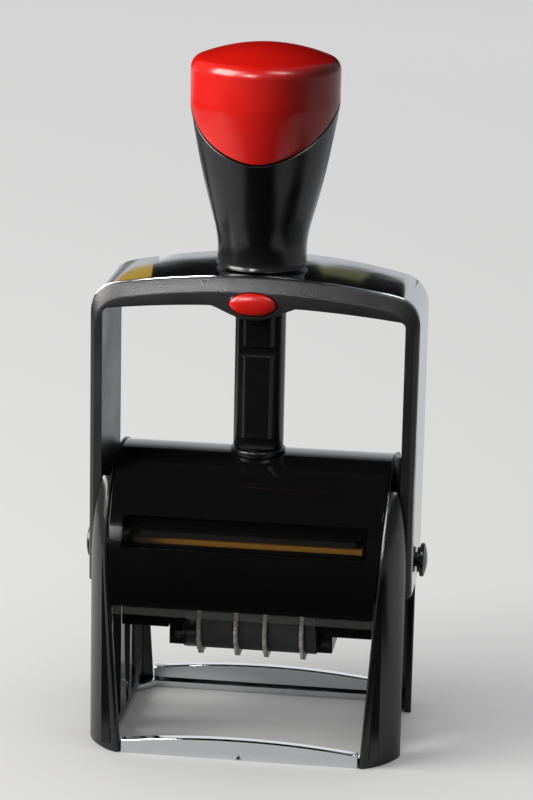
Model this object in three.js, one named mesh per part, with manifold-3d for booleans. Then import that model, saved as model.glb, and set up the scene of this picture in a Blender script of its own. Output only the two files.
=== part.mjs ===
// Self-inking date stamp. A bow with a palm handle slides down over the housing, and the type
// carrier that hangs on its axle turns half a turn on the way, from the ink pad to the paper.
// Millimetres. X runs across the stamp, Y to the back, Z up. The origin is under the middle.
import * as THREE from 'three';
import { mergeVertices } from 'three/addons/utils/BufferGeometryUtils.js';
import Module from 'manifold-3d';

const wasm = await Module();
wasm.setup();

// Driving dimensions: fits
const clearance = 0.3;
const seatGap = 0.1;
const boreGap = 0.1;
const overcut = 5;
const overlap = 1;

// Barrel and side frames
const axleRestHeight = 51.5;
const barrelRadius = 29;
const barrelWall = 1.8;
const rimStandOff = 0.4;
const rimRadius = barrelRadius + rimStandOff;
const plateInnerX = 35.9;
const plateOuterX = 38.3;
const plateBottom = 2.3;
const coverFrontBottom = 42.1;
const coverRearBottom = 46;
const skirtHeight = 1.8;
const windowBottom = 59;
const windowTop = 67.2;
const windowHalfWidth = 33.2;
const windowThickness = 1.4;

// Legs
const footInset = 0.5;
const footFrontY = rimRadius - footInset;
const footInnerX = 33;
const waistInnerX = 36.2;
const waistHeight = 48;
const cheekTopAngle = 56.4;
const cheekTopInnerX = 37.7;
const legOuterX = 43.3;
const cheekBulgeHeight = 50;
const shoulderAngle = 62.6;
const shoulderRounding = 0.4;
const sideBlockX = 30;
const legBackY = 16.7;
const legWall = 1.8;
const legCavityAngle = 29.5;
const legRoundness = 1.35;

// Side frame windows, guide slot and cam groove
const sideWindowBottom = 5;
const sideWindowTop = 42;
const frontRailY = -11;
const rearRailY = 6.2;
const bushRadius = 3.1;
const axleRadius = 2;
const camArm = 4.4;
const camPegRadius = 1.3;
const camGrooveDepth = 1.2;

// Chrome base frame
const baseThickness = 2;
const baseInset = 2.7;
const baseFrontY = footFrontY - baseInset;
const baseBarWidth = 2;
const baseLipThickness = 2.6;
const baseLipRoot = 0.4;
const baseCorner = 1;
const baseLipHalfWidth = 32.6;
const baseRailInnerX = 36;
const baseRailOuterX = 38.2;
const baseRailEndY = 20;
const frontLipHeight = 5.7;
const frontLipEndHeight = 3.7;
const rearLipHeight = 7.7;
const rearLipEndHeight = 5.5;
const sightNotch = 1.6;

// Column and collar
const columnRadius = 6.9;
const columnBore = 4.1;
const columnFacetY = -6.2;
const columnTop = 140;
const columnFootRadius = 5.9;
const collarRadius = 7.5;
const collarHeight = 1.1;
const collarChamfer = 0.3;
const notchHeight = 2.8;
const notchDepth = 1.5;
const serviceNotchHeight = 109.6;

// Bow
const bowHalfWidth = 44.7;
const bowTopHeight = 132.7;
const bowTopRadius = 196;
const bowCornerStart = 37.5;
const bowCornerDrop = 11.7;
const bowCornerPull = 5.1;
const bowLegBottom = 45;
const bowLegInnerX = 40.9;
const bowUndersideHeight = 124.9;
const bowUndersideRadius = 290;
const bowLipDepth = 1.2;
const bowFrontY = 17.4;
const bowFrontEndY = 15.9;
const bowBackY = 17.4;
const bowBackEndY = 12.7;
const trimChamferHeight = 4;
const trimChamferSide = 1.6;
const trimChamferDepth = 1.4;
const trimDepth = 2.6;
const strapThickness = 1.2;
const bumpHalfWidth = 11.6;
const bumpBottom = 121;
const bumpBackY = -12.5;
const bumpRadius = 14;
const bumpReach = 50;
const bumpShoulderIn = 1.6;
const bumpShoulderDrop = 2.2;

// Lock button
const buttonHeight = 125.5;
const buttonHalfWidth = 6.4;
const buttonHalfHeight = 3.05;
const buttonProud = 1.6;
const buttonBodyDepth = 2.2;
const buttonRecessBackY = -11.5;
const buttonStemRadius = 1;
const bladeHalfWidth = 3.6;
const bladeHalfHeight = 1;
const bladeLength = 3.6;
const bladeGap = 0.6;
const buttonSpringRadius = 2.5;
const buttonSpringWire = 0.3;
const buttonSpringTurns = 2.5;

// Handle
const neckRadius = 12.1;
const neckFlangeRadius = 12.5;
const neckFlangeHeight = 0.7;
const neckFlangeSlope = 0.9;
const neckSpigotRadius = 9.5;
const neckBore = 7.4;
const neckWaistTop = 138;
const palmRadius = 20.1;
const palmStart = 178;
const handleTop = 193;
const capCrown = 2.7;
const capFlatRadius = 6;
const capCrownPower = 1.35;
const capRounding = 3.4;
const capWall = 2;
const capSeamLow = 163.2;
const capSeamRise = 15.5;
const capSeamPower = 1.75;
const springPocketTop = 184;

// How far the neck has swelled to the palm at each share of its height
const neckSwell = [[0, 0], [0.125, 0.08], [0.225, 0.21], [0.325, 0.34], [0.425, 0.468], [0.525, 0.58],
  [0.625, 0.682], [0.725, 0.782], [0.825, 0.875], [0.925, 0.955], [1, 1]];

// Return spring
const springRadius = 3.2;
const springWire = 0.6;
const springTurns = 16;

// Axle pins
const pinInnerX = 31.9;
const headRadius = 4.7;
const headCollarRadius = 3.5;
const headThickness = 2.7;
const headEdge = 1.2;
const headGroove = 1;
const headCrownRadius = 9;
const headCrownReach = 15;

// Type carrier, heights from the axle
const carrierHalfWidth = 34.5;
const endPlateThickness = 2.6;
const endPlateHalfDepth = 13;
const endPlateBottom = -17.5;
const endPlateTop = 5.8;
const footInner = 21.5;
const carrierFootY = 18;
const carrierFootBottom = -18;
const carrierFootTop = -12.5;
const platformBottom = 2.6;
const platformTop = 5;
const platformHalfDepth = 17.5;
const holderThickness = 0.9;
const holderHalfWidth = 31.5;
const holderHalfDepth = 18.7;
const cushionThickness = 1.4;
const textHalfWidth = 29.5;
const textHalfDepth = 17.6;
const textThickness = 1.7;
const textRelief = 0.5;
const textBorder = 1.2;

// Date unit, heights from the axle
const wheelCentre = -21.6;
const discRadius = 9.5;
const discThickness = 1.2;
const discTeeth = 18;
const toothDepth = 0.7;
const bandOuterRadius = 7.6;
const bandThickness = 1;
const anvilRadius = 2;
const wheelShaftRadius = 1.5;
const wheelStarts = [-15.2, -4.8, 3.3, 13.6];
const wheelRowEnd = 17.9;
const blockOuterX = 22.8;
const blockInnerX = 18.3;
const blockHalfDepth = 8;
const blockBottom = -26.3;
const blockTop = -13;
const uprightOuterX = 20.5;
const uprightHalfDepth = 5;
const uprightNeckHalfDepth = 2.8;
const earHalfDepth = 6;
const earHalfHeight = 1.5;
const blockRecess = 4;
const blockRecessDepth = 2.4;
const blockRecessLift = 2;
const bandSlotGap = 1.2;
const shaftInset = 0.5;

// Ink pad drawer, heights from the axle
const padLift = 1.1;
const padThickness = 3.4;
const padHalfWidth = 30.6;
const padEdgeGap = 0.5;
const trayHalfWidth = 32.6;
const trayFrontGap = 0.75;
const trayRearGap = 0.55;
const trayWall = 1.2;
const trayTopThickness = 1.5;
const gripHalfWidth = 13;
const gripInset = 0.7;
const gripSetBack = 0.6;
const drawerSlack = 0.5;
const padRailThickness = 1.3;
const padRailHalfDepth = 18;

// Sizes that follow from the ones above
const plateStack = holderThickness + cushionThickness + textThickness + textRelief + 3 * seatGap;
const faceHeight = platformTop + plateStack;
const stroke = axleRestHeight - faceHeight;
const pegPathPoints = 12;
const columnBottomRadius = barrelRadius + clearance;
const columnRoot = axleRestHeight + columnBottomRadius - collarRadius;
const collarTop = axleRestHeight + barrelRadius + collarHeight;
const capEdge = handleTop - capCrown;
const capInnerTop = capEdge - capWall;
const seamCutBottom = capSeamLow - 2 * overcut;
const bladeTip = columnFacetY - bladeGap;
const bladeRoot = bladeTip - bladeLength;
const bandInnerRadius = bandOuterRadius - bandThickness;
const anvilCentre = faceHeight - bandThickness - clearance - anvilRadius;
const padBottom = faceHeight + padLift;
const trayTop = padBottom + padThickness + seatGap + trayTopThickness;
const trayBottom = padBottom + seatGap;
const trayReach = Math.sqrt((barrelRadius - barrelWall) ** 2 - trayTop ** 2);
const trayFrontY = trayFrontGap - trayReach;
const trayRearY = trayReach - trayRearGap;
const padHalfDepth = trayReach - trayFrontGap - trayWall - padEdgeGap;
const gripY = barrelRadius - gripSetBack;
const slotHalf = bushRadius + clearance;
const springBottom = axleRestHeight + columnBottomRadius + clearance;
const springTop = springPocketTop - clearance;

const degrees = Math.PI / 180;
const rimHeightAt = (angle) => axleRestHeight + rimRadius * Math.sin(angle * degrees);
const cheekTopHeight = rimHeightAt(cheekTopAngle);
const shoulderHeight = rimHeightAt(shoulderAngle);
const cheekBulgeTop = shoulderHeight + shoulderRounding;
const legCavityTop = rimHeightAt(legCavityAngle);
const cheekStepAngles = [11, 21];
const shoulderStepAngles = [39, 48.4];

// How far the cutting shapes reach past the housing
const aboveHousing = axleRestHeight + rimRadius + overcut;
const besideHousing = bowHalfWidth + overcut;
const beforeHousing = rimRadius + overcut;

// Solids: a closed three.js geometry becomes a solid that can be joined and cut
function solid(geometry) {
  const bare = geometry.clone();
  bare.deleteAttribute('normal');
  bare.deleteAttribute('uv');
  const welded = mergeVertices(bare, 1e-4);
  const points = welded.attributes.position.array;
  const faces = [];
  let volume = 0;
  for (let i = 0; i < welded.index.count; i += 3) {
    const [a, b, c] = [0, 1, 2].map((k) => welded.index.getX(i + k));
    if (a === b || b === c || c === a) continue;
    faces.push(a, b, c);
    const [p, q, r] = [a, b, c].map((k) => new THREE.Vector3().fromArray(points, 3 * k));
    volume += p.dot(q.cross(r));
  }
  if (volume < 0) faces.reverse();
  const mesh = new wasm.Mesh({
    numProp: 3,
    vertProperties: new Float32Array(points),
    triVerts: new Uint32Array(faces),
  });
  return new wasm.Manifold(mesh);
}

function join(first, ...others) {
  return others.reduce((sum, other) => sum.add(other), first);
}

function cut(first, ...others) {
  return others.reduce((rest, other) => rest.subtract(other), first);
}

function shapeOf(points) {
  return new THREE.Shape(points.map(([u, v]) => new THREE.Vector2(u, v)));
}

function extruded(shape, depth) {
  return new THREE.ExtrudeGeometry(shape, { depth, bevelEnabled: false, curveSegments: 8 });
}

// A prism along X from an outline in (y, z)
function alongX(points, x0, x1) {
  const turn = new THREE.Matrix4().makeBasis(
    new THREE.Vector3(0, 1, 0), new THREE.Vector3(0, 0, 1), new THREE.Vector3(1, 0, 0));
  return solid(extruded(shapeOf(points), x1 - x0).applyMatrix4(turn).translate(x0, 0, 0));
}

// A prism along Y from an outline in (x, z)
function alongY(points, y0, y1) {
  const turn = new THREE.Matrix4().makeBasis(
    new THREE.Vector3(1, 0, 0), new THREE.Vector3(0, 0, 1), new THREE.Vector3(0, -1, 0));
  return solid(extruded(shapeOf(points), y1 - y0).applyMatrix4(turn).translate(0, y1, 0));
}

// A prism along Z from an outline in (x, y)
function alongZ(points, z0, z1) {
  return solid(extruded(shapeOf(points), z1 - z0).translate(0, 0, z0));
}

function box([x0, x1], [y0, y1], [z0, z1]) {
  const geometry = new THREE.BoxGeometry(x1 - x0, y1 - y0, z1 - z0);
  return solid(geometry.translate((x0 + x1) / 2, (y0 + y1) / 2, (z0 + z1) / 2));
}

function arc(u, v, radius, from, to, steps) {
  const points = [];
  for (let i = 0; i <= steps; i += 1) {
    const angle = (from + (to - from) * i / steps) * degrees;
    points.push([u + radius * Math.cos(angle), v + radius * Math.sin(angle)]);
  }
  return points;
}

function rodX(radius, x0, x1, y, z, sides = 20) {
  return alongX(arc(y, z, radius, 0, 360 - 360 / sides, sides - 1), x0, x1);
}

function rodY(radius, y0, y1, x, z, sides = 20) {
  return alongY(arc(x, z, radius, 0, 360 - 360 / sides, sides - 1), y0, y1);
}

function rodZ(radius, z0, z1, sides = 36) {
  return turned([[0, z0], [radius, z0], [radius, z1], [0, z1]], sides);
}

// A turned solid about Z from a profile of (radius, z) pairs that starts and ends on the axis
function turned(profile, sides = 32) {
  const points = profile.map(([radius, z]) => new THREE.Vector2(radius, z));
  return solid(new THREE.LatheGeometry(points, sides).rotateX(Math.PI / 2));
}

// A skin through rings of equal length, closed by an end face on the first and the last ring
function loft(rings, flatten) {
  const count = rings[0].length;
  const faces = [];
  for (let r = 0; r + 1 < rings.length; r += 1) {
    for (let i = 0; i < count; i += 1) {
      const j = (i + 1) % count;
      const [a, b] = [r * count + i, r * count + j];
      faces.push(a, b, b + count, a, b + count, a + count);
    }
  }
  const lastStart = (rings.length - 1) * count;
  const capOf = (ring, start, turned) => {
    const outline = ring.map((p) => new THREE.Vector2(...flatten(p)));
    const turn = THREE.ShapeUtils.isClockWise(outline) !== turned;
    for (const [a, b, c] of THREE.ShapeUtils.triangulateShape(outline, [])) {
      faces.push(...[a, turn ? c : b, turn ? b : c].map((k) => k + start));
    }
  };
  capOf(rings[0], 0, true);
  capOf(rings.at(-1), lastStart, false);
  const geometry = new THREE.BufferGeometry();
  geometry.setAttribute('position', new THREE.Float32BufferAttribute(rings.flat(2), 3));
  geometry.setIndex(faces);
  return solid(geometry);
}

function loftZ(sections) {
  const rings = sections.map(({ z, outline }) => outline.map(([x, y]) => [x, y, z]));
  return loft(rings, ([x, y]) => [x, y]);
}

function interpolate(table, at) {
  const last = table.length - 1;
  if (at <= table[0][0]) return table[0][1];
  if (at >= table[last][0]) return table[last][1];
  const i = table.findIndex(([key]) => key > at);
  const [[k0, v0], [k1, v1]] = [table[i - 1], table[i]];
  return v0 + (v1 - v0) * (at - k0) / (k1 - k0);
}

function mirrored(shape) {
  return shape.mirror([1, 0, 0]);
}

const group = new THREE.Group();

function add(name, shape, material, parent = group, place = [0, 0, 0]) {
  const data = shape.getMesh();
  const geometry = new THREE.BufferGeometry();
  geometry.setAttribute('position', new THREE.BufferAttribute(new Float32Array(data.vertProperties), 3));
  geometry.setIndex(new THREE.BufferAttribute(new Uint32Array(data.triVerts), 1));
  geometry.computeVertexNormals();
  const mesh = new THREE.Mesh(geometry, material);
  mesh.name = name;
  mesh.position.set(...place);
  parent.add(mesh);
  return mesh;
}

function finish(color, roughness, metalness = 0, more = {}) {
  return new THREE.MeshStandardMaterial({ color, roughness, metalness, ...more });
}

const glossBlack = finish('#141414', 0.12);
const mouldedBlack = finish('#1c1c1c', 0.45);
const satinBlack = finish('#222222', 0.35);
const redPlastic = finish('#d8160f', 0.25);
const chrome = finish('#d6d8da', 0.08, 1);
const steel = finish('#b4b6b8', 0.3, 1);
const springSteel = finish('#9a9c9e', 0.35, 1);
const clearPlastic = finish('#5a5a5c', 0.05, 0, { transparent: true, opacity: 0.4 });
const amberFoam = finish('#c8941f', 0.7);
const textRubber = finish('#3a3432', 0.8);
const bandRubber = finish('#202021', 0.7);
const greyPlastic = finish('#b9bab2', 0.5);
const padFelt = finish('#26282c', 0.95);

// Housing outline at a height: the flat front, the rounded corner and the straight flank
function frontY(z) {
  const rise = z - axleRestHeight;
  if (rise <= 0) return footFrontY + (rimRadius - footFrontY) * z / axleRestHeight;
  return Math.sqrt(rimRadius ** 2 - rise ** 2);
}

function innerX(z) {
  return interpolate([[0, footInnerX], [waistHeight, waistInnerX], [cheekTopHeight, cheekTopInnerX]], z);
}

function outerX(z) {
  if (z <= cheekBulgeHeight) return legOuterX;
  const share = Math.min(1, (z - cheekBulgeHeight) / (cheekBulgeTop - cheekBulgeHeight));
  return plateOuterX + (legOuterX - plateOuterX) * Math.sqrt(1 - share ** 2);
}

function cornerCurve(z, wall) {
  const front = frontY(z) - wall;
  const flank = Math.min(legBackY - clearance, front - clearance);
  const inner = innerX(z) - clearance;
  const outer = outerX(z) - wall;
  const steps = 6;
  const points = [];
  for (let i = 0; i <= steps; i += 1) {
    const angle = i / steps * Math.PI / 2;
    const across = Math.sin(angle) ** legRoundness;
    const along = Math.max(0, Math.cos(angle)) ** legRoundness;
    points.push([inner + (outer - inner) * across, -flank - (front - flank) * along]);
  }
  return points;
}

function housingSection(z, wall) {
  const curve = cornerCurve(z, wall);
  const back = curve.map(([x, y]) => [x, -y]).reverse();
  const start = [sideBlockX - wall, curve[0][1]];
  const end = [sideBlockX - wall, -curve[0][1]];
  return { z, outline: [start, ...curve, ...back, end] };
}

const straightHeights = [0, waistHeight, axleRestHeight, ...cheekStepAngles.map(rimHeightAt)];
const shoulderHeights = [legCavityTop, ...shoulderStepAngles.map(rimHeightAt), cheekTopHeight, shoulderHeight];

// The right side as one block: both legs, the rounded cheek and the crown over the barrel
function sideBlock() {
  const lower = loftZ([...straightHeights, ...shoulderHeights].map((z) => housingSection(z, 0)));
  const y = frontY(shoulderHeight);
  const reach = Math.asin(y / rimRadius) / degrees;
  const crown = arc(0, axleRestHeight, rimRadius, 90 + reach, 90 - reach, 10);
  const root = shoulderHeight - overlap;
  return join(lower, alongX([[-y, root], ...crown, [y, root]], sideBlockX, plateOuterX));
}

function archOutline(radius, bottom, steps = 32) {
  return [[-radius, bottom], ...arc(0, axleRestHeight, radius, 180, 0, steps), [radius, bottom]];
}

// The space between the two cheeks, which the barrel cover fills
function betweenCheeks(gap, bottom) {
  const y = beforeHousing;
  return loftZ([bottom, waistHeight, cheekTopHeight, aboveHousing].map((z) => {
    const x = innerX(z) - gap;
    return { z, outline: [[-x, -y], [x, -y], [x, y], [-x, y]] };
  }));
}

function guideSlot() {
  const low = axleRestHeight - stroke;
  const outline = [...arc(0, axleRestHeight, slotHalf, 0, 180, 8), ...arc(0, low, slotHalf, 180, 360, 8)];
  return alongX(outline, plateInnerX - overlap, plateOuterX + overlap);
}

// The path of the cam peg while the carrier sinks and turns at a steady rate
function camGroove() {
  const half = camPegRadius + clearance;
  const path = [];
  for (let i = 0; i <= pegPathPoints; i += 1) {
    const turn = Math.PI * i / pegPathPoints;
    const sink = stroke * i / pegPathPoints;
    path.push(new THREE.Vector2(-camArm * Math.sin(turn), axleRestHeight - sink + camArm * Math.cos(turn)));
  }
  const normals = path.map((_, i) => {
    const tangent = path[Math.min(i + 1, pegPathPoints)].clone().sub(path[Math.max(i - 1, 0)]).normalize();
    return new THREE.Vector2(-tangent.y, tangent.x).multiplyScalar(half);
  });
  const one = path.map((p, i) => p.clone().add(normals[i]).toArray());
  const other = path.map((p, i) => p.clone().sub(normals[i]).toArray()).reverse();
  const [x0, x1] = [plateInnerX - overlap, plateInnerX + camGrooveDepth];
  const start = rodX(half, x0, x1, 0, axleRestHeight + camArm, 16);
  const end = rodX(half, x0, x1, 0, axleRestHeight - stroke - camArm, 16);
  return join(alongX([...one, ...other], x0, x1), start, end);
}

function sideFrame() {
  const wide = [sideBlockX - overlap, bowHalfWidth];
  const windowHeights = [sideWindowBottom, sideWindowTop];
  const frontWindow = box(wide, [-rimRadius, frontRailY], windowHeights);
  const rearWindow = box(wide, [rearRailY, rimRadius], windowHeights);
  const slab = box([plateInnerX, plateOuterX], [-rimRadius, rimRadius], [plateBottom, aboveHousing]);
  const plate = cut(slab, frontWindow, rearWindow, guideSlot(), camGroove());

  const across = [0, besideHousing];
  const deep = [-beforeHousing, beforeHousing];
  const tall = [-overcut, aboveHousing];
  const bowSpace = box(across, [-legBackY, legBackY], tall);
  const cavity = loftZ([-overlap, ...straightHeights, legCavityTop].map((z) => housingSection(z, legWall)));
  const legs = cut(box([sideBlockX, besideHousing], deep, [-overlap, aboveHousing]), bowSpace, cavity);

  const barrelInside = alongX(archOutline(barrelRadius - barrelWall - clearance, -overlap), 0, besideHousing);
  const seat = cut(betweenCheeks(0, coverFrontBottom - clearance), barrelInside);
  const belowSeat = betweenCheeks(0, -overlap).intersect(box(across, deep, [-overcut, coverFrontBottom]));
  const inBarrel = box([0, plateInnerX], deep, [coverFrontBottom, aboveHousing]);
  const openLegs = cut(legs, belowSeat, inBarrel);
  const railTop = axleRestHeight + trayBottom - clearance;
  const rail = box([holderHalfWidth + clearance, plateInnerX + overlap], [-padRailHalfDepth, padRailHalfDepth],
    [railTop - padRailThickness, railTop]);
  return join(cut(join(plate, openLegs), seat).intersect(sideBlock()), rail);
}

function addHousing() {
  const right = sideFrame();
  add('side_frame_right', right, mouldedBlack);
  add('side_frame_left', mirrored(right), mouldedBlack);

  const outer = [[-barrelRadius, coverFrontBottom], ...arc(0, axleRestHeight, barrelRadius, 180, 0, 36),
    [barrelRadius, coverRearBottom]];
  const innerRadius = barrelRadius - barrelWall;
  const inner = [[innerRadius, coverRearBottom], ...arc(0, axleRestHeight, innerRadius, 0, 180, 36),
    [-innerRadius, coverFrontBottom]];
  const sheet = alongX([...outer, ...inner], -plateOuterX, plateOuterX)
    .intersect(betweenCheeks(clearance, coverFrontBottom - overlap));
  const windowCut = box([-windowHalfWidth, windowHalfWidth], [-beforeHousing, 0], [windowBottom, windowTop]);
  const slotHalfWidth = trayHalfWidth + drawerSlack;
  const slotHeights = [axleRestHeight + trayBottom - drawerSlack, axleRestHeight + trayTop + drawerSlack];
  const drawerSlot = box([-slotHalfWidth, slotHalfWidth], [0, beforeHousing], slotHeights);
  add('barrel_cover', cut(sheet, windowCut, drawerSlot), glossBlack);

  const paneOuter = barrelRadius - seatGap;
  const pane = cut(alongX(archOutline(paneOuter, coverFrontBottom), -windowHalfWidth, windowHalfWidth),
    alongX(archOutline(paneOuter - windowThickness, 0), -besideHousing, besideHousing));
  const paneSpace = box([seatGap - windowHalfWidth, windowHalfWidth - seatGap], [-beforeHousing, 0],
    [windowBottom + seatGap, windowTop - seatGap]);
  add('sight_window', pane.intersect(paneSpace), clearPlastic);

  const skirtHalf = innerX(coverFrontBottom) - clearance;
  const skirtTop = coverFrontBottom - seatGap;
  const skirtHeights = [skirtTop - skirtHeight, skirtTop];
  add('clear_skirt', box([-skirtHalf, skirtHalf], [-barrelRadius, -innerRadius], skirtHeights), clearPlastic);
  addBaseFrame();
}

function lip(middle, end, y0, y1) {
  const sag = middle - end;
  const radius = (baseLipHalfWidth ** 2 + sag ** 2) / (2 * sag);
  const reach = Math.asin(baseLipHalfWidth / radius) / degrees;
  const top = arc(0, middle - radius, radius, 90 - reach, 90 + reach, 14);
  const notch = [[-sightNotch / 2, 0], [0, sightNotch], [sightNotch / 2, 0]];
  return alongY([...top, [-baseLipHalfWidth, 0], ...notch, [baseLipHalfWidth, 0]], y0, y1);
}

function addBaseFrame() {
  const ring = (x, y, cornerX, cornerY) => [[x, -cornerY], [x, cornerY], [cornerX, y], [-cornerX, y],
    [-x, cornerY], [-x, -cornerY], [-cornerX, -y], [cornerX, -y]];
  const outside = alongZ(ring(baseRailOuterX, baseFrontY, baseLipHalfWidth, baseRailEndY), 0, baseThickness);
  const innerY = baseFrontY - baseBarWidth;
  const inner = ring(baseRailInnerX, innerY, baseLipHalfWidth - baseCorner, baseRailEndY - baseCorner);
  const inside = alongZ(inner, -overlap, baseThickness + overlap);
  const lipBack = baseFrontY - baseLipRoot;
  const lipFront = lipBack + baseLipThickness;
  const front = lip(frontLipHeight, frontLipEndHeight, -lipFront, -lipBack);
  const rear = lip(rearLipHeight, rearLipEndHeight, lipBack, lipFront);
  add('base_frame', join(cut(outside, inside), front, rear), chrome);
}

function addColumn() {
  const halfFacet = Math.acos(-columnFacetY / columnRadius) / degrees;
  const outline = arc(0, 0, columnRadius, -90 + halfFacet, 270 - halfFacet, 26);
  const barrelSpace = rodX(columnBottomRadius, -barrelRadius, barrelRadius, 0, axleRestHeight, 64);
  const bore = rodZ(columnBore, columnRoot - overcut, columnTop + overcut, 24);
  const shoulder = collarTop + clearance;
  const foot = rodZ(columnFootRadius, columnRoot, shoulder + overlap);
  const tube = cut(join(alongZ(outline, shoulder, columnTop), foot), barrelSpace, bore);
  const notches = [buttonHeight, serviceNotchHeight, buttonHeight - stroke].map((z) => box(
    [-columnRadius, columnRadius], [columnFacetY - overcut, columnFacetY + notchDepth],
    [z - notchHeight / 2, z + notchHeight / 2]));
  add('guide_column', cut(tube, ...notches), satinBlack);

  const sleeve = turned([[0, columnRoot], [collarRadius, columnRoot], [collarRadius, collarTop - collarChamfer],
    [collarRadius - collarChamfer, collarTop], [0, collarTop]], 36);
  const sleeveBore = rodZ(columnFootRadius + clearance, columnRoot - overcut, collarTop + overcut);
  add('column_collar', cut(sleeve, sleeveBore, barrelSpace), satinBlack);
}

// A spring is one unbroken tube, coiled about Z
function coil(radius, wire, bottom, top, turns) {
  const stepsPerTurn = 8;
  const sides = 4;
  const steps = turns * stepsPerTurn;
  const height = top - bottom - 2 * wire;
  const rings = [];
  for (let i = 0; i <= steps; i += 1) {
    const angle = 2 * Math.PI * i / stepsPerTurn;
    const z = bottom + wire + height * i / steps;
    const ring = [];
    for (let k = 0; k < sides; k += 1) {
      const around = 2 * Math.PI * k / sides;
      const reach = radius + wire * Math.cos(around);
      ring.push([reach * Math.cos(angle), reach * Math.sin(angle), z + wire * Math.sin(around)]);
    }
    rings.push(ring);
  }
  return loft(rings, ([x, y, z]) => [Math.hypot(x, y), z]);
}

function addReturnSpring() {
  add('return_spring', coil(springRadius, springWire, springBottom, springTop, springTurns), springSteel);
}

// Bow outline in (x, z): the outside set in at the top and the sides, and the inside raised
function bowOutside(inset, sideInset = inset) {
  const half = bowHalfWidth - sideInset;
  const points = [[-half, bowLegBottom]];
  const startX = bowCornerStart - sideInset;
  const startZ = bowTopHeight - inset - startX ** 2 / (2 * bowTopRadius);
  const sideZ = startZ - bowCornerDrop + bowCornerPull / 2;
  const controlZ = startZ - startX / bowTopRadius * (half - startX);
  const corner = [];
  for (let i = 0; i <= 6; i += 1) {
    const t = i / 6;
    const x = (1 - t) ** 2 * half + 2 * t * (1 - t) * half + t ** 2 * startX;
    const z = (1 - t) ** 2 * sideZ + 2 * t * (1 - t) * controlZ + t ** 2 * startZ;
    corner.push([x, z]);
  }
  points.push(...corner.map(([x, z]) => [-x, z]));
  for (let i = 1; i < 16; i += 1) {
    const x = startX * (i / 8 - 1);
    points.push([x, bowTopHeight - inset - x ** 2 / (2 * bowTopRadius)]);
  }
  points.push(...corner.reverse(), [half, bowLegBottom]);
  return points;
}

function bowInside(lift) {
  const points = [[bowLegInnerX, bowLegBottom]];
  const steps = 16;
  for (let i = 0; i <= steps; i += 1) {
    const x = bowLegInnerX * (1 - 2 * i / steps);
    points.push([x, bowUndersideHeight + lift - x ** 2 / (2 * bowUndersideRadius)]);
  }
  points.push([-bowLegInnerX, bowLegBottom]);
  return points;
}

function bowFront(x) {
  return -(bowFrontEndY + (bowFrontY - bowFrontEndY) * (1 - (x / bowHalfWidth) ** 2));
}

function bowBack(x) {
  return bowBackEndY + (bowBackY - bowBackEndY) * (1 - (x / bowHalfWidth) ** 2);
}

function bowRing(outside, lift, depthAt) {
  return [...outside, ...bowInside(lift)].map(([x, z]) => [x, depthAt(x), z]);
}

function addBow(parent) {
  const flat = ([x, , z]) => [x, z];
  const bodyInset = strapThickness + clearance;
  const trimBack = (x) => bowFront(x) + trimDepth;
  const trimEdge = bowOutside(seatGap);
  const body = bowOutside(bodyInset);
  const frame = loft([
    bowRing(bowOutside(trimChamferHeight, trimChamferSide), 0, bowFront),
    bowRing(trimEdge, 0, (x) => bowFront(x) + trimChamferDepth),
    bowRing(trimEdge, 0, trimBack),
    bowRing(body, bowLipDepth, (x) => trimBack(x) + seatGap),
    bowRing(body, bowLipDepth, (x) => bowBack(x) - clearance),
  ], flat);
  const bumpTop = bowUndersideHeight + overlap;
  const shoulderX = bumpHalfWidth - bumpShoulderIn;
  const bumpArc = arc(0, bumpBottom + bumpRadius, bumpRadius, -bumpReach, bumpReach - 180, 8);
  const shoulderZ = bumpTop - bumpShoulderDrop;
  const bumpOutline = [[-bumpHalfWidth, bumpTop], [bumpHalfWidth, bumpTop], [shoulderX, shoulderZ], ...bumpArc,
    [-shoulderX, shoulderZ]];
  const bump = alongY(bumpOutline, -bowFrontY, bumpBackY);
  const columnHole = rodZ(columnRadius + clearance, bumpBottom - overcut, bowTopHeight + overcut);
  const recessFront = bowFrontY + overcut;
  const recess = solid(new THREE.CylinderGeometry(1, 1, 1, 28)
    .scale(buttonHalfWidth + clearance, recessFront + buttonRecessBackY, buttonHalfHeight + clearance)
    .translate(0, (buttonRecessBackY - recessFront) / 2, buttonHeight));
  const stemHole = rodY(buttonStemRadius + clearance, buttonRecessBackY - clearance, 0, 0, buttonHeight, 16);
  const bladeHole = box([-bladeHalfWidth - clearance, bladeHalfWidth + clearance], [bladeRoot - clearance, 0],
    [buttonHeight - bladeHalfHeight - clearance, buttonHeight + bladeHalfHeight + clearance]);
  const pinHoles = rodX(axleRadius + boreGap, -besideHousing, besideHousing, 0, axleRestHeight, 20);
  const holes = [columnHole, recess, stemHole, bladeHole, pinHoles];
  add('bow_frame', cut(join(frame, bump), ...holes), mouldedBlack, parent);

  const bandOutline = [...bowOutside(0), ...bowOutside(strapThickness).reverse()];
  const band = loft([
    bandOutline.map(([x, z]) => [x, trimBack(x) + seatGap, z]),
    bandOutline.map(([x, z]) => [x, bowBack(x), z]),
  ], flat);
  const spigotHole = rodZ(neckSpigotRadius + clearance, bowUndersideHeight - overcut, bowTopHeight + overcut);
  add('bow_strap', cut(band, spigotHole, pinHoles), chrome, parent);
}

// Handle outside: a waisted neck that swells to the palm
function handleRadius(z) {
  const share = (z - neckWaistTop) / (palmStart - neckWaistTop);
  return neckRadius + (palmRadius - neckRadius) * interpolate(neckSwell, share);
}

function handleProfile(from, to, wall, step = 5.5) {
  const points = [];
  const count = Math.max(1, Math.round((to - from) / step));
  for (let i = 0; i <= count; i += 1) {
    const z = from + (to - from) * i / count;
    points.push([handleRadius(z) - wall, z]);
  }
  return points;
}

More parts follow.
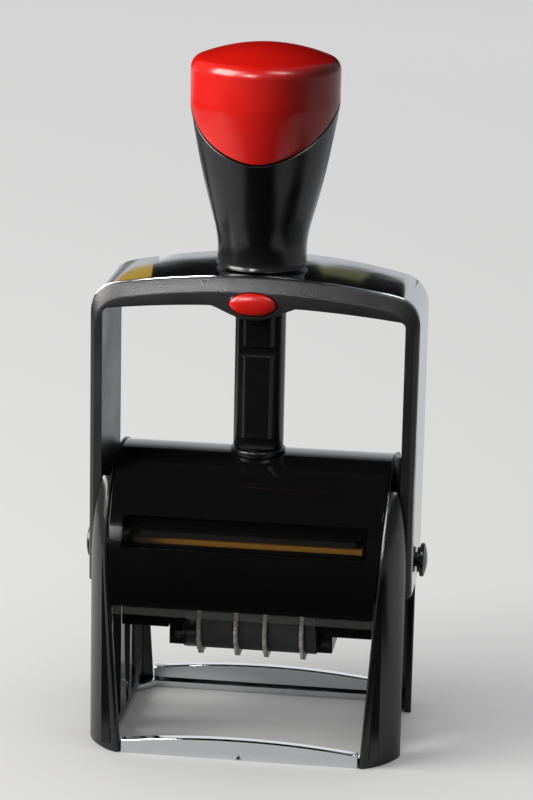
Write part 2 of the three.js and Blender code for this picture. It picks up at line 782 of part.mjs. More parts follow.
// Everything above the seam, which dips to a point in front and at the back
function aboveSeam(drop) {
  const sides = 32;
  const top = handleTop + overcut;
  const reach = palmRadius + overcut;
  const hubRadius = neckBore + 2 * clearance;
  const seam = [];
  for (let i = 0; i < sides; i += 1) {
    const angle = 360 * (i + 0.5) / sides;
    const fromPoint = Math.min(angle % 180, 180 - angle % 180) / 90;
    const z = capSeamLow + capSeamRise * fromPoint ** capSeamPower - drop;
    seam.push([Math.sin(angle * degrees), -Math.cos(angle * degrees), z]);
  }
  const bottom = seam.map(([x, y, z]) => [reach * x, reach * y, z]);
  const hub = seam.map(([x, y, z]) => [hubRadius * x, hubRadius * y, z]);
  const lid = seam.map(([x, y]) => [reach * x, reach * y, top]);
  const core = seam.map(([x, y]) => [hubRadius * x, hubRadius * y, seamCutBottom]);
  return loft([core, hub, bottom, lid], ([x, y]) => [x, y]);
}

function addHandle(parent) {
  const base = bowTopHeight + clearance;
  const spigotBottom = bowTopHeight - strapThickness;
  const shoulder = [[0, spigotBottom], [neckSpigotRadius, spigotBottom], [neckSpigotRadius, base],
    [neckFlangeRadius, base], [neckFlangeRadius, base + neckFlangeHeight]];
  const neckStart = base + neckFlangeHeight + neckFlangeSlope;
  const neckTop = palmStart + overlap;
  const outside = turned([...shoulder, ...handleProfile(neckStart, neckTop, 0), [0, neckTop]]);
  const coreTop = capInnerTop - clearance;
  const coreProfile = handleProfile(seamCutBottom, coreTop, capWall + clearance);
  const core = turned([[0, seamCutBottom], ...coreProfile, [0, coreTop]]);
  const pocket = rodZ(neckBore, spigotBottom - overcut, springPocketTop, 32);
  add('handle_neck', cut(join(cut(outside, aboveSeam(clearance)), core), pocket), glossBlack, parent);

  const edgeRadius = palmRadius - capRounding;
  const round = arc(edgeRadius, capEdge - capRounding, capRounding, 0, 90, 5);
  const crown = [0.75, 0.5, 0.25, 0].map((share) => [
    capFlatRadius + (edgeRadius - capFlatRadius) * share, handleTop - capCrown * share ** capCrownPower]);
  const capBottom = capSeamLow - overcut;
  const capOutside = turned([[0, capBottom], ...handleProfile(capBottom, palmStart, 0), ...round, ...crown,
    [0, handleTop]]);
  const capHollow = handleProfile(seamCutBottom, capInnerTop, capWall);
  const capInside = turned([[0, seamCutBottom], ...capHollow, [0, capInnerTop]]);
  add('handle_cap', cut(capOutside, capInside).intersect(aboveSeam(0)), redPlastic, parent);
}

function addAxle(parent) {
  const outside = bowHalfWidth + clearance;
  const dome = arc(outside + headThickness - headCrownRadius, 0, headCrownRadius, 0, headCrownReach, 3);
  const profile = [[outside + headThickness - headEdge, headRadius], [outside + headGroove, headRadius],
    [outside + headGroove / 2, headCollarRadius], [outside, headCollarRadius], [outside, axleRadius],
    [pinInnerX, axleRadius], [pinInnerX, 0]];
  const points = [...dome, ...profile].map(([x, r]) => new THREE.Vector2(Math.max(0, r), x));
  const pin = solid(new THREE.LatheGeometry(points, 24).rotateZ(-Math.PI / 2).translate(0, 0, axleRestHeight));
  const bushOutside = bowLegInnerX - clearance;
  const bushInside = plateInnerX + camGrooveDepth + seatGap;
  const bush = cut(rodX(bushRadius, bushInside, bushOutside, 0, axleRestHeight, 24),
    rodX(axleRadius + boreGap, 0, besideHousing, 0, axleRestHeight, 20));
  add('axle_pin_right', pin, satinBlack, parent);
  add('axle_pin_left', mirrored(pin), satinBlack, parent);
  add('guide_bush_right', bush, greyPlastic, parent);
  add('guide_bush_left', mirrored(bush), greyPlastic, parent);
}

function addButton(parent) {
  const edgeY = -bowFrontY;
  const crown = [[0, 1], [0.45, 0.86], [0.75, 0.55], [0.93, 0.22], [1, 0]];
  const profile = crown.map(([share, height]) => new THREE.Vector2(share, -height * buttonProud));
  profile.push(new THREE.Vector2(1, buttonBodyDepth), new THREE.Vector2(0, buttonBodyDepth));
  const dome = solid(new THREE.LatheGeometry(profile, 28)
    .scale(buttonHalfWidth, 1, buttonHalfHeight).translate(0, edgeY, buttonHeight));
  const stem = rodY(buttonStemRadius, edgeY + overlap, bladeRoot - seatGap, 0, buttonHeight, 16);
  add('lock_button', join(dome, stem), redPlastic, parent);
  add('latch_blade', box([-bladeHalfWidth, bladeHalfWidth], [bladeRoot, bladeTip],
    [buttonHeight - bladeHalfHeight, buttonHeight + bladeHalfHeight]), steel, parent);
  const length = buttonRecessBackY - clearance - (edgeY + buttonBodyDepth + clearance);
  const spring = coil(buttonSpringRadius, buttonSpringWire, 0, length, buttonSpringTurns);
  add('button_spring', spring.rotate([90, 0, 0]).translate([0, buttonRecessBackY - clearance, buttonHeight]),
    springSteel, parent);
}

// Type carrier, drawn from the axle as its origin
function addCarrier(parent) {
  const innerFace = carrierHalfWidth - endPlateThickness;
  const endPlate = box([innerFace, carrierHalfWidth], [-endPlateHalfDepth, endPlateHalfDepth],
    [endPlateBottom, endPlateTop]);
  const foot = (y0, y1) => box([footInner, carrierHalfWidth], [y0, y1], [carrierFootBottom, carrierFootTop]);
  const nearPlate = endPlateHalfDepth - overlap;
  const pegEnd = plateInnerX + camGrooveDepth - seatGap;
  const peg = rodX(camPegRadius, carrierHalfWidth - overlap, pegEnd, 0, camArm, 16);
  const side = cut(join(endPlate, foot(-carrierFootY, -nearPlate), foot(nearPlate, carrierFootY), peg),
    rodX(axleRadius + boreGap, innerFace - overcut, carrierHalfWidth + overlap, 0, 0, 20));
  const platform = box([-carrierHalfWidth, carrierHalfWidth], [-platformHalfDepth, platformHalfDepth],
    [platformBottom, platformTop]);
  const throughFace = [-overcut, faceHeight + overcut];
  const dateSlot = box([-uprightOuterX - clearance, uprightOuterX + clearance],
    [-uprightHalfDepth - clearance, uprightHalfDepth + clearance], throughFace);
  add('carrier_frame', cut(join(platform, side, mirrored(side)), dateSlot), satinBlack, parent);

  const bandHole = uprightNeckHalfDepth + bandSlotGap;
  const faceSlotHalf = uprightOuterX + clearance;
  const faceSlot = box([-faceSlotHalf, faceSlotHalf], [-bandHole, bandHole], throughFace);
  const slab = (halfX, halfY, bottom, top) => box([-halfX, halfX], [-halfY, halfY], [bottom, top]);
  const holderBottom = platformTop + seatGap;
  const cushionBottom = holderBottom + holderThickness + seatGap;
  const textBottom = cushionBottom + cushionThickness + seatGap;
  const textTop = textBottom + textThickness;
  const holder = slab(holderHalfWidth, holderHalfDepth, holderBottom, holderBottom + holderThickness);
  add('plate_holder', cut(holder, faceSlot), satinBlack, parent);
  const cushion = slab(holderHalfWidth, holderHalfDepth, cushionBottom, cushionBottom + cushionThickness);
  add('plate_cushion', cut(cushion, faceSlot), amberFoam, parent);
  const reliefBase = textTop - textRelief;
  const border = cut(slab(textHalfWidth, textHalfDepth, reliefBase, textTop + textRelief),
    slab(textHalfWidth - textBorder, textHalfDepth - textBorder, ...throughFace));
  const text = join(slab(textHalfWidth, textHalfDepth, textBottom, textTop), border);
  add('text_plate', cut(text, faceSlot), textRubber, parent);
  addDateUnit(parent);
}

function addDateUnit(parent) {
  const halves = [1, -1].map((side) => {
    const block = box([blockInnerX, blockOuterX], [-blockHalfDepth, blockHalfDepth], [blockBottom, blockTop]);
    const upright = box([blockInnerX, uprightOuterX], [-uprightHalfDepth, uprightHalfDepth],
      [blockTop - overlap, platformBottom]);
    const neck = box([blockInnerX, uprightOuterX], [-uprightNeckHalfDepth, uprightNeckHalfDepth],
      [0, anvilCentre + anvilRadius]);
    const ear = box([blockInnerX, pinInnerX - clearance], [-earHalfDepth, earHalfDepth],
      [-earHalfHeight, earHalfHeight]);
    const recessX = (blockInnerX + blockOuterX) / 2;
    const recess = box([recessX - blockRecess / 2, recessX + blockRecess / 2],
      [-blockHalfDepth - overlap, blockRecessDepth - blockHalfDepth],
      [blockBottom + blockRecessLift, blockBottom + blockRecessLift + blockRecess]);
    const half = cut(join(block, upright, neck, ear), recess);
    return side > 0 ? half : mirrored(half);
  });
  const blockInside = blockInnerX + overlap;
  const anvil = rodX(anvilRadius, -blockInside, blockInside, 0, anvilCentre, 16);
  const spacer = rodX(bandOuterRadius, -blockInside, wheelStarts[0] - clearance, 0, wheelCentre, 24);
  const holeRadius = wheelShaftRadius + boreGap / 2;
  const shaftHole = rodX(holeRadius, -carrierHalfWidth, carrierHalfWidth, 0, wheelCentre, 20);
  add('date_frame', cut(join(halves[0], halves[1], anvil, spacer), shaftHole), satinBlack, parent);
  const shaftHalf = blockOuterX - shaftInset;
  add('date_wheel_shaft', rodX(wheelShaftRadius, -shaftHalf, shaftHalf, 0, wheelCentre, 20), steel, parent);

  wheelStarts.forEach((start, i) => {
    const drumStart = start + discThickness;
    const drumEnd = i + 1 < wheelStarts.length ? wheelStarts[i + 1] - clearance : wheelRowEnd;
    add(`date_wheel_${i + 1}`, dateWheel(drumEnd - start), greyPlastic, parent, [start, 0, wheelCentre]);
    add(`date_band_${i + 1}`, dateBand(drumStart + seatGap, drumEnd - seatGap), bandRubber, parent);
  });
}

// A toothed thumb disc with the drum that drives the band, drawn on its own axis
function dateWheel(length) {
  const rim = [];
  for (let i = 0; i < 2 * discTeeth; i += 1) {
    const radius = i % 2 === 0 ? discRadius : discRadius - toothDepth;
    const angle = 360 * i / (2 * discTeeth) * degrees;
    rim.push([radius * Math.cos(angle), radius * Math.sin(angle)]);
  }
  const drum = rodX(bandInnerRadius - clearance, 0, length, 0, 0, 24);
  return cut(join(alongX(rim, 0, discThickness), drum),
    rodX(wheelShaftRadius + boreGap, -overlap, length + overlap, 0, 0, 20));
}

// A rubber band round the drum and the anvil under the face
function dateBand(x0, x1) {
  const lift = anvilCentre - wheelCentre;
  const lean = Math.asin((bandOuterRadius - anvilRadius - clearance - bandThickness) / lift) / degrees;
  const loop = (set) => [
    ...arc(0, wheelCentre, bandOuterRadius - set, 180 - lean, 360 + lean, 14),
    ...arc(0, anvilCentre, anvilRadius + clearance + bandThickness - set, lean, 180 - lean, 8),
  ];
  return cut(alongX(loop(0), x0, x1), alongX(loop(bandThickness), x0 - overlap, x1 + overlap));
}

// Ink pad drawer, drawn from the axle's rest height
function addDrawer(parent) {
  const across = [-trayHalfWidth, trayHalfWidth];
  const topBottom = trayTop - trayTopThickness;
  const lid = box(across, [trayFrontY, trayRearY], [topBottom, trayTop]);
  const wallHeights = [trayBottom, topBottom + overlap / 2];
  const front = box(across, [trayFrontY, trayFrontY + trayWall], wallHeights);
  const rear = box(across, [trayRearY - trayWall, trayRearY], wallHeights);
  const rightWall = box([trayHalfWidth - trayWall, trayHalfWidth], [trayFrontY, trayRearY], wallHeights);
  const lowAngle = Math.asin(trayBottom / barrelRadius) / degrees;
  const highAngle = Math.asin(trayTop / barrelRadius) / degrees;
  const skin = arc(0, 0, barrelRadius, lowAngle, highAngle, 4);
  const plugRoot = trayRearY - trayWall / 2;
  const plug = alongX([[plugRoot, trayBottom], ...skin, [plugRoot, trayTop]], -trayHalfWidth, trayHalfWidth);
  const gripHeights = [trayBottom + gripInset, trayTop - gripInset];
  const grip = box([-gripHalfWidth, gripHalfWidth], [trayRearY, gripY], gripHeights);
  add('pad_tray', join(lid, front, rear, rightWall, mirrored(rightWall), plug, grip), satinBlack, parent);
  add('ink_pad', box([-padHalfWidth, padHalfWidth], [-padHalfDepth, padHalfDepth],
    [padBottom, padBottom + padThickness]), padFelt, parent);
}

addHousing();
addColumn();
addReturnSpring();

const bow = new THREE.Group();
group.add(bow);
addBow(bow);
addHandle(bow);
addAxle(bow);
addButton(bow);

const carrier = new THREE.Group();
carrier.position.set(0, 0, axleRestHeight);
bow.add(carrier);
addCarrier(carrier);

const drawer = new THREE.Group();
drawer.position.set(0, 0, axleRestHeight);
group.add(drawer);
addDrawer(drawer);

export default group;
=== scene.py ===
# Looks for a self-inking date stamp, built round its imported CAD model.
import math

import bmesh
import bpy
from mathutils import Matrix, Vector


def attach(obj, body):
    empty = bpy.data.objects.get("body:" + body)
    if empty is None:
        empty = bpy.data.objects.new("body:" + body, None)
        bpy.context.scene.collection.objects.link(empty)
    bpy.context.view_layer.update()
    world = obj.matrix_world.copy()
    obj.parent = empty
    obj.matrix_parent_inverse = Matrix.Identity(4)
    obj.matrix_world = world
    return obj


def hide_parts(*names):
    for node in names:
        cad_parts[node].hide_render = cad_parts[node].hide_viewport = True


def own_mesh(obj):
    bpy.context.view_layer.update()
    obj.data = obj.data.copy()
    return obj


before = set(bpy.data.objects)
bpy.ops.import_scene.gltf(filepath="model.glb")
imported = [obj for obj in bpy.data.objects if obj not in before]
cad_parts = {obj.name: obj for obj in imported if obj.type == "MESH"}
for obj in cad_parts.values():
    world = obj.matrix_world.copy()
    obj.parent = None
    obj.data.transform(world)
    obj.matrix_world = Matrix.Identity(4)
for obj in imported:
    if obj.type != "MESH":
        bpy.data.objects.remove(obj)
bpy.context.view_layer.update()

mm = 0.001  # pieces are drawn in millimetres and brought to metres at the end
scene = bpy.context.scene
scene.view_settings.view_transform = "Standard"

# The camera stands in front, a little to the right and above, at the photograph's angle
cameraLook = dict(azimuth=7.355, elevation=15.177, roll=1.216, distance=850.4, aimHeight=100,
                  shiftRight=1.975, shiftUp=-5.209, lens=139.74, sensor=36)


def addCamera(look):
    azimuth, elevation, roll = (math.radians(look[k]) for k in ("azimuth", "elevation", "roll"))
    level = math.cos(elevation)
    ahead = Vector((-math.sin(azimuth) * level, math.cos(azimuth) * level, -math.sin(elevation)))
    right = Vector((math.cos(azimuth), math.sin(azimuth), 0))
    up = right.cross(ahead)
    place = Vector((0, 0, look["aimHeight"])) - ahead * look["distance"]
    place += right * look["shiftRight"] + up * look["shiftUp"]
    turnedRight = right * math.cos(roll) + up * math.sin(roll)
    turnedUp = up * math.cos(roll) - right * math.sin(roll)
    data = bpy.data.cameras.new("camera")
    data.sensor_fit = "VERTICAL"
    data.sensor_height = look["sensor"]
    data.lens = look["lens"]
    data.clip_start = 0.01
    camera = bpy.data.objects.new("camera", data)
    camera.matrix_world = Matrix.Translation(place * mm) @ Matrix(
        (turnedRight, turnedUp, -ahead)).transposed().to_4x4()
    scene.collection.objects.link(camera)
    scene.camera = camera


addCamera(cameraLook)
print("camera placed")


def linear(hexColour):
    values = [int(hexColour[i:i + 2], 16) / 255 for i in (1, 3, 5)]
    return [v / 12.92 if v <= 0.04045 else ((v + 0.055) / 1.055) ** 2.4 for v in values] + [1]


def addNode(tree, kind, sockets=None, **settings):
    node = tree.nodes.new("ShaderNode" + kind)
    for name, value in settings.items():
        setattr(node, name, value)
    for name, value in (sockets or {}).items():
        if isinstance(value, bpy.types.NodeSocket):
            tree.links.new(value, node.inputs[name])
        else:
            node.inputs[name].default_value = value
    return node


# Sizes are in millimetres: patch is the width of the faint colour clouds, smear that of the
# changes in gloss, grain that of the moulded or ground texture, and depth is how deep it is
finishes = {
    # ABS from a spark-eroded mould: an even fine grain that breaks every highlight into sparkle
    "grainedAbs": dict(colour="#151516", shade="#101011", patch=11, rough=(0.34, 0.44), smear=16,
                       grain=0.42, depth=0.03, ior=1.54),
    # The same mould, polished lightly on the bow's chamfer, so that its grain sparkles
    "erodedAbs": dict(colour="#1f1f20", shade="#18181a", patch=7, rough=(0.26, 0.34), smear=9,
                      grain=0.5, depth=0.07, ior=1.54),
    # ABS from a polished mould: deep black with clear reflections, faintly wavy as thin walls are
    "polishedAbs": dict(colour="#0e0e0f", shade="#0b0b0c", patch=24, rough=(0.05, 0.1), smear=22,
                        grain=17, depth=0.05, ior=1.52),
    # The handle's grip: the same black, rubbed to a silky sheen
    "silkyAbs": dict(colour="#0e0e0f", shade="#0b0b0c", patch=18, rough=(0.2, 0.26), smear=14,
                     grain=0.5, depth=0.006, ior=1.52),
    # ABS from a plain steel mould: satin, with soft long highlights
    "satinAbs": dict(colour="#101011", shade="#0d0d0e", patch=14, rough=(0.2, 0.28), smear=12,
                     grain=0.6, depth=0.012, ior=1.54),
    # Red ABS with a semi-gloss palm surface: the light shows as a soft bright edge
    "redAbs": dict(colour="#cf1610", shade="#c4130d", patch=13, rough=(0.2, 0.27), smear=15,
                   grain=0.35, depth=0.008, ior=1.52),
    # Plated ABS: bright chrome with the slight orange peel of the plastic under it
    "chromePlate": dict(colour="#e4e6e8", shade="#dcdee0", patch=18, rough=(0.03, 0.06), smear=20,
                        grain=9, depth=0.008, metallic=1),
    # Bright drawn steel: fine lines along the bar
    "drawnSteel": dict(colour="#c3c4c6", shade="#a8aaac", patch=5, rough=(0.24, 0.34), smear=4,
                       grain=0.25, depth=0.012, metallic=1, stretch=(0.05, 1, 1)),
    # Patented spring wire: darker, with drawing lines along the wire
    "springWire": dict(colour="#a2a4a6", shade="#85878a", patch=3, rough=(0.28, 0.36), smear=3,
                       grain=0.3, depth=0.01, metallic=1),
    # Foamed cushion with fine closed cells: amber, matt, slightly uneven
    "amberFoam": dict(colour="#d99a22", shade="#b97c16", patch=2.2, rough=(0.7, 0.85), smear=5,
                      grain=0.3, depth=0.08, ior=1.5),
    # Vulcanised stamp rubber: dark red brown and matt, stained by ink
    "stampRubber": dict(colour="#2b2322", shade="#1c1819", patch=7, rough=(0.62, 0.8), smear=6,
                        grain=0.3, depth=0.02, ior=1.52),
    # Rubber date bands: matt black with a bloom
    "bandRubber": dict(colour="#2a2a2b", shade="#1e1e20", patch=3, rough=(0.6, 0.75), smear=4,
                       grain=0.25, depth=0.02, ior=1.52),
    # Acetal thumb wheels and bushes: pale grey, waxy, a little light goes into it
    "paleAcetal": dict(colour="#c9cac2", shade="#b9bab1", patch=6, rough=(0.34, 0.44), smear=5,
                       grain=0.4, depth=0.012, ior=1.48, scatter=0.25),
    # Felt pad soaked with black ink: fibres and darker wet clouds
    "inkedFelt": dict(colour="#2b2d33", shade="#101117", patch=5, rough=(0.75, 0.95), smear=6,
                      grain=0.35, depth=0.12, ior=1.5, sheen=0.06),
}


noiseSpread = {"From Min": 0.3, "From Max": 0.7}  # the range in which most of a noise lies
metalIor = 1.5  # the default, which metals keep
scatterReach = 1  # how far light travels in the pale plastic


def newMaterial(name):
    material = bpy.data.materials.new(name)
    material.use_nodes = True
    material.node_tree.nodes.clear()
    return material, material.node_tree


# Gloss that drifts between the two values of a finish
def driftingGloss(tree, place, look, fineness=0.5):
    smears = addNode(tree, "TexNoise", {
        "Vector": place, "Scale": 1 / (look["smear"] * mm), "Detail": 4.0, "Roughness": fineness})
    low, high = look["rough"]
    return addNode(tree, "MapRange", {
        "Value": smears.outputs[0], **noiseSpread, "To Min": low, "To Max": high}).outputs[0]


def makeFinish(name, look):
    material, tree = newMaterial(name)
    place = addNode(tree, "TexCoord").outputs["Object"]
    if "stretch" in look:
        place = addNode(tree, "Mapping", {"Vector": place, "Scale": look["stretch"]}).outputs[0]
    clouds = addNode(tree, "TexNoise", {
        "Vector": place, "Scale": 1 / (look["patch"] * mm), "Detail": 3.0})
    colour = addNode(tree, "Mix", {"Factor": clouds.outputs[0], 6: linear(look["colour"]),
                                   7: linear(look["shade"])}, data_type="RGBA")
    rough = driftingGloss(tree, place, look, 0.6)
    grain = addNode(tree, "TexNoise", {
        "Vector": place, "Scale": 1 / (look["grain"] * mm), "Detail": 2.0})
    bump = addNode(tree, "Bump", {
        "Height": grain.outputs[0], "Strength": 1.0, "Distance": look["depth"] * mm})
    shader = addNode(tree, "BsdfPrincipled", {
        "Base Color": colour.outputs[2], "Roughness": rough, "Normal": bump.outputs[0],
        "Metallic": look.get("metallic", 0.0), "IOR": look.get("ior", metalIor),
        "Sheen Weight": look.get("sheen", 0.0), "Subsurface Weight": look.get("scatter", 0.0),
        "Subsurface Scale": scatterReach * mm})
    addNode(tree, "OutputMaterial", {"Surface": shader.outputs[0]})
    return material


# Cast acrylic. The pane is smoked, and the skirt is nearly clear with a grey cast
clearFinishes = {
    "smokedAcrylic": dict(tint="#0a0a0a", rough=(0.03, 0.07), smear=15, alpha=0.22),
    "clearAcrylic": dict(tint="#626463", rough=(0.04, 0.1), smear=10, alpha=0.16),
}
acrylic = dict(ior=1.49, gloss=0.8)


def makeClear(name, look):
    material, tree = newMaterial(name)
    rough = driftingGloss(tree, addNode(tree, "TexCoord").outputs["Object"], look)
    shader = addNode(tree, "BsdfPrincipled", {
        "Base Color": linear(look["tint"]), "Roughness": rough, "IOR": acrylic["ior"],
        "Alpha": look["alpha"], "Specular IOR Level": acrylic["gloss"]})
    addNode(tree, "OutputMaterial", {"Surface": shader.outputs[0]})
    return material


materials = {name: makeFinish(name, look) for name, look in finishes.items()}
materials.update({name: makeClear(name, look) for name, look in clearFinishes.items()})
print("finishes mixed")


def sizesOf(look, names):
    return [look[name] for name in names.split()]


def newMesh(name, bm):
    mesh = bpy.data.meshes.new(name)
    bm.to_mesh(mesh)
    bm.free()
    thing = bpy.data.objects.new(name, mesh)
    scene.collection.objects.link(thing)
    return thing


# Joins or cuts closed shapes, and gives the result as a new bmesh
def combine(bm, others, operation="DIFFERENCE"):
    shapes = [newMesh("shape", each) for each in (bm, *others)]
    for other in shapes[1:]:
        modifier = shapes[0].modifiers.new("combine", "BOOLEAN")
        modifier.operation = operation
        modifier.solver = "EXACT"
        modifier.object = other
    bpy.context.view_layer.update()
    graph = bpy.context.evaluated_depsgraph_get()
    joined = bmesh.new()
    joined.from_mesh(shapes[0].evaluated_get(graph).to_mesh())
    for shape in shapes:
        mesh = shape.data
        bpy.data.objects.remove(shape)
        bpy.data.meshes.remove(mesh)
    return joined


# Rounds the edges where faces meet at more than an angle in degrees
def roundEdges(bm, width, segments=2, sharpest=30, chosen=None):
    limit = math.radians(sharpest)
    edges = [e for e in bm.edges if len(e.link_faces) == 2 and e.calc_face_angle() > limit]
    if chosen:
        edges = [e for e in edges if chosen(e)]
    bmesh.ops.bevel(bm, geom=edges, offset=width, offset_type="OFFSET", affect="EDGES",
                    segments=segments, profile=0.5, material=-1, clamp_overlap=True)


def makePiece(name, bm, finish, body, stands, slotName, smooth=35):
    bmesh.ops.scale(bm, vec=(mm, mm, mm), verts=bm.verts)
    piece = newMesh(name, bm)
    piece.data.materials.clear()
    piece.data.materials.append(materials[finish])
    piece.data.shade_smooth()
    piece.data.set_sharp_from_angle(angle=math.radians(smooth))
    if finish != "springWire":  # flat sides keep their shading level up to their rounded edges
        piece.modifiers.new("evenNormals", "WEIGHTED_NORMAL").keep_sharp = True
    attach(piece, body)
    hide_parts(*stands)
    return piece


def facedOut(bm):
    bmesh.ops.recalc_face_normals(bm, faces=bm.faces)
    return bm


# Draws the first row of points, and pulls each next row out of the last one. A closed row is
# a ring, and the first and last rings are filled
def pulled(rows, closed=True):
    bm = bmesh.new()

    def pairs(row):
        return zip(row, row[1:] + row[:1] if closed else row[1:])

    front = [bm.verts.new(p) for p in rows[0]]
    edges = [bm.edges.new(pair) for pair in pairs(front)]
    if closed:
        bmesh.ops.contextual_create(bm, geom=edges)
    for row in rows[1:]:
        made = set(bmesh.ops.extrude_edge_only(bm, edges=edges)["geom"])
        front = [next(e.other_vert(v) for e in v.link_edges if e.other_vert(v) in made)
                 for v in front]
        for vertex, point in zip(front, row):
            vertex.co = point
        edges = [bm.edges.get(pair) for pair in pairs(front)]
    if closed:
        bmesh.ops.contextual_create(bm, geom=edges)
    return facedOut(bm)


# An outline drawn across an axis, and pulled along it from one place to another
def prism(outline, axis, low, high):
    spread = {"x": lambda u, v, w: (w, u, v), "y": lambda u, v, w: (u, w, v),
              "z": lambda u, v, w: (u, v, w)}[axis]
    return pulled([[spread(u, v, w) for u, v in outline] for w in (low, high)])


def rectangle(left, right, low, high):
    return [(left, low), (right, low), (right, high), (left, high)]


def block(xs, ys, zs):
    return prism(rectangle(*xs, *ys), "z", *zs)


def arc(u, v, radius, start, end, steps):
    angles = [math.radians(start + (end - start) * i / steps) for i in range(steps + 1)]
    return [(u + radius * math.cos(a), v + radius * math.sin(a)) for a in angles]


def rod(radius, axis, low, high, u=0, v=0, sides=48):
    return prism(arc(u, v, radius, 0, 360 - 360 / sides, sides - 1), axis, low, high)


weld = 0.001  # points closer than this are one


def sealed(bm):
    bmesh.ops.remove_doubles(bm, verts=bm.verts, dist=weld)
    return facedOut(bm)


# A full spin of the drawn points and edges about Z
def spun(bm, points, steps):
    edges = [bm.edges.new(pair) for pair in zip(points, points[1:])]
    bmesh.ops.spin(bm, geom=points + edges, cent=(0, 0, 0), axis=(0, 0, 1), angle=2 * math.pi,
                   steps=steps, use_merge=True, use_duplicate=False)


# Spins a profile of (radius, height) points about Z
def turned(profile, steps=96):
    bm = bmesh.new()
    spun(bm, [bm.verts.new((radius, 0, z)) for radius, z in profile], steps)
    return sealed(bm)


# A quarter turn about the origin
def tipped(bm, axis):
    turn = Matrix.Rotation(math.pi / 2, 3, axis)
    bmesh.ops.rotate(bm, cent=(0, 0, 0), matrix=turn, verts=bm.verts)


def moved(bm, x=0, y=0, z=0):
    bmesh.ops.translate(bm, vec=(x, y, z), verts=bm.verts)


def mirroredCopy(bm, x=-1, y=1):
    copy = bm.copy()
    bmesh.ops.scale(copy, vec=(x, y, 1), verts=copy.verts)
    bmesh.ops.reverse_faces(copy, faces=copy.faces)
    return copy


# A piece on the right, and its mirrored copy on the left
def makePair(name, node, bm, finish, body, slotName, smooth):
    for side, shape in (("left", mirroredCopy(bm)), ("right", bm)):
        makePiece(name + side.title(), shape, finish, body, [f"{node}_{side}"], slotName, smooth)


flat = math.radians(0.5)  # triangles that meet at less than this are one face


# A CAD solid with its triangles dissolved into faces and its edges rounded
def softened(node, width):
    bm = bmesh.new()
    bm.from_mesh(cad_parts[node].data)
    bmesh.ops.scale(bm, vec=(1 / mm, 1 / mm, 1 / mm), verts=bm.verts)
    bmesh.ops.remove_doubles(bm, verts=bm.verts, dist=weld)
    bmesh.ops.dissolve_limit(bm, angle_limit=flat, verts=bm.verts, edges=bm.edges)
    roundEdges(bm, width)
    return bm


def interpolated(table, at):
    for (lowKey, low), (highKey, high) in zip(table, table[1:]):
        if at <= highKey:
            return low + (high - low) * max(0, at - lowKey) / (highKey - lowKey)
    return table[-1][1]


# The handle: a waisted neck that swells to the palm, and a red cap whose edge dips at the
# front and the back
handle = dict(neckRadius=12.1, palmRadius=20.1, waist=138, palm=178, foot=133, top=193, crown=4.4,
              rounding=3.4, seamLow=163.2, seamRise=15.5, seamPower=1.75, gap=0.3, wall=2, bore=7.4,
              boreTop=184, spigot=9.5, spigotDepth=1.5, neckStart=136, seamStart=158, capStart=182,
              edge=0.35, nick=0.1, innerTop=188.3, coreLedge=4, capLedge=3, steps=128)
# How far the neck has swelled to the palm, at shares of its height
swell = [(0, 0), (0.125, 0.08), (0.225, 0.21), (0.325, 0.34), (0.425, 0.468), (0.525, 0.58),
         (0.625, 0.682), (0.725, 0.782), (0.825, 0.875), (0.925, 0.955), (1, 1)]
# The bead round the foot of the neck, as (radius, height over the foot)
footBead = [(12.1, 0), (12.35, 0.08), (12.45, 0.3), (12.4, 0.55), (12.25, 0.85), (12.1, 1.4)]


# A smooth curve through the points of a table, level at both ends
def smoothed(table, at):
    at = min(max(at, table[0][0]), table[-1][0])
    i = next(k for k in range(1, len(table)) if at <= table[k][0])
    slopes = [(y1 - y0) / (x1 - x0) for (x0, y0), (x1, y1) in zip(table, table[2:])]
    slopes = [0, *slopes, 0]
    (x0, y0), (x1, y1) = table[i - 1], table[i]
    width = x1 - x0
    t = (at - x0) / width
    rise = (y1 - y0) * t * t * (3 - 2 * t)
    return y0 + rise + width * t * (1 - t) * (slopes[i - 1] * (1 - t) - slopes[i] * t)


def handleRadius(z):
    share = (z - handle["waist"]) / (handle["palm"] - handle["waist"])
    low, high = sizesOf(handle, "neckRadius palmRadius")
    return low + (high - low) * smoothed(swell, share)


def seamHeight(x, y):
    around = math.degrees(math.atan2(abs(x), abs(y))) / 90
    return handle["seamLow"] + handle["seamRise"] * around ** handle["seamPower"]


# Each point of the profile is (inset from the handle's outside, height, share of the seam, rise).
# After the spin, points with a share of the seam are moved to follow it all round
def followSeam(profile):
    bm = bmesh.new()
    layers = [bm.verts.layers.float.new(name) for name in ("inset", "fixed", "share", "rise")]
    points = []
    for inset, fixed, share, rise in profile:
        radius = handleRadius(fixed) - inset if inset is not None else 0
        vertex = bm.verts.new((radius, 0, fixed))
        for layer, value in zip(layers, (inset or 0, fixed, share, rise)):
            vertex[layer] = value
        points.append(vertex)
    spun(bm, points, handle["steps"])
    inset, fixed, share, rise = layers
    for vertex in bm.verts:
        if vertex[share] == 0:
            continue
        x, y = vertex.co.xy
        reach = math.hypot(x, y)
        level = vertex[fixed] * (1 - vertex[share]) + seamHeight(x, y) * vertex[share]
        radius = handleRadius(level) - vertex[inset]
        vertex.co = (x * radius / reach, y * radius / reach, level + vertex[rise])
    return sealed(bm)


# A point at a radius of its own, which the seam doesn't move
def straight(radius, z):
    return (handleRadius(z) - radius, z, 0, 0)


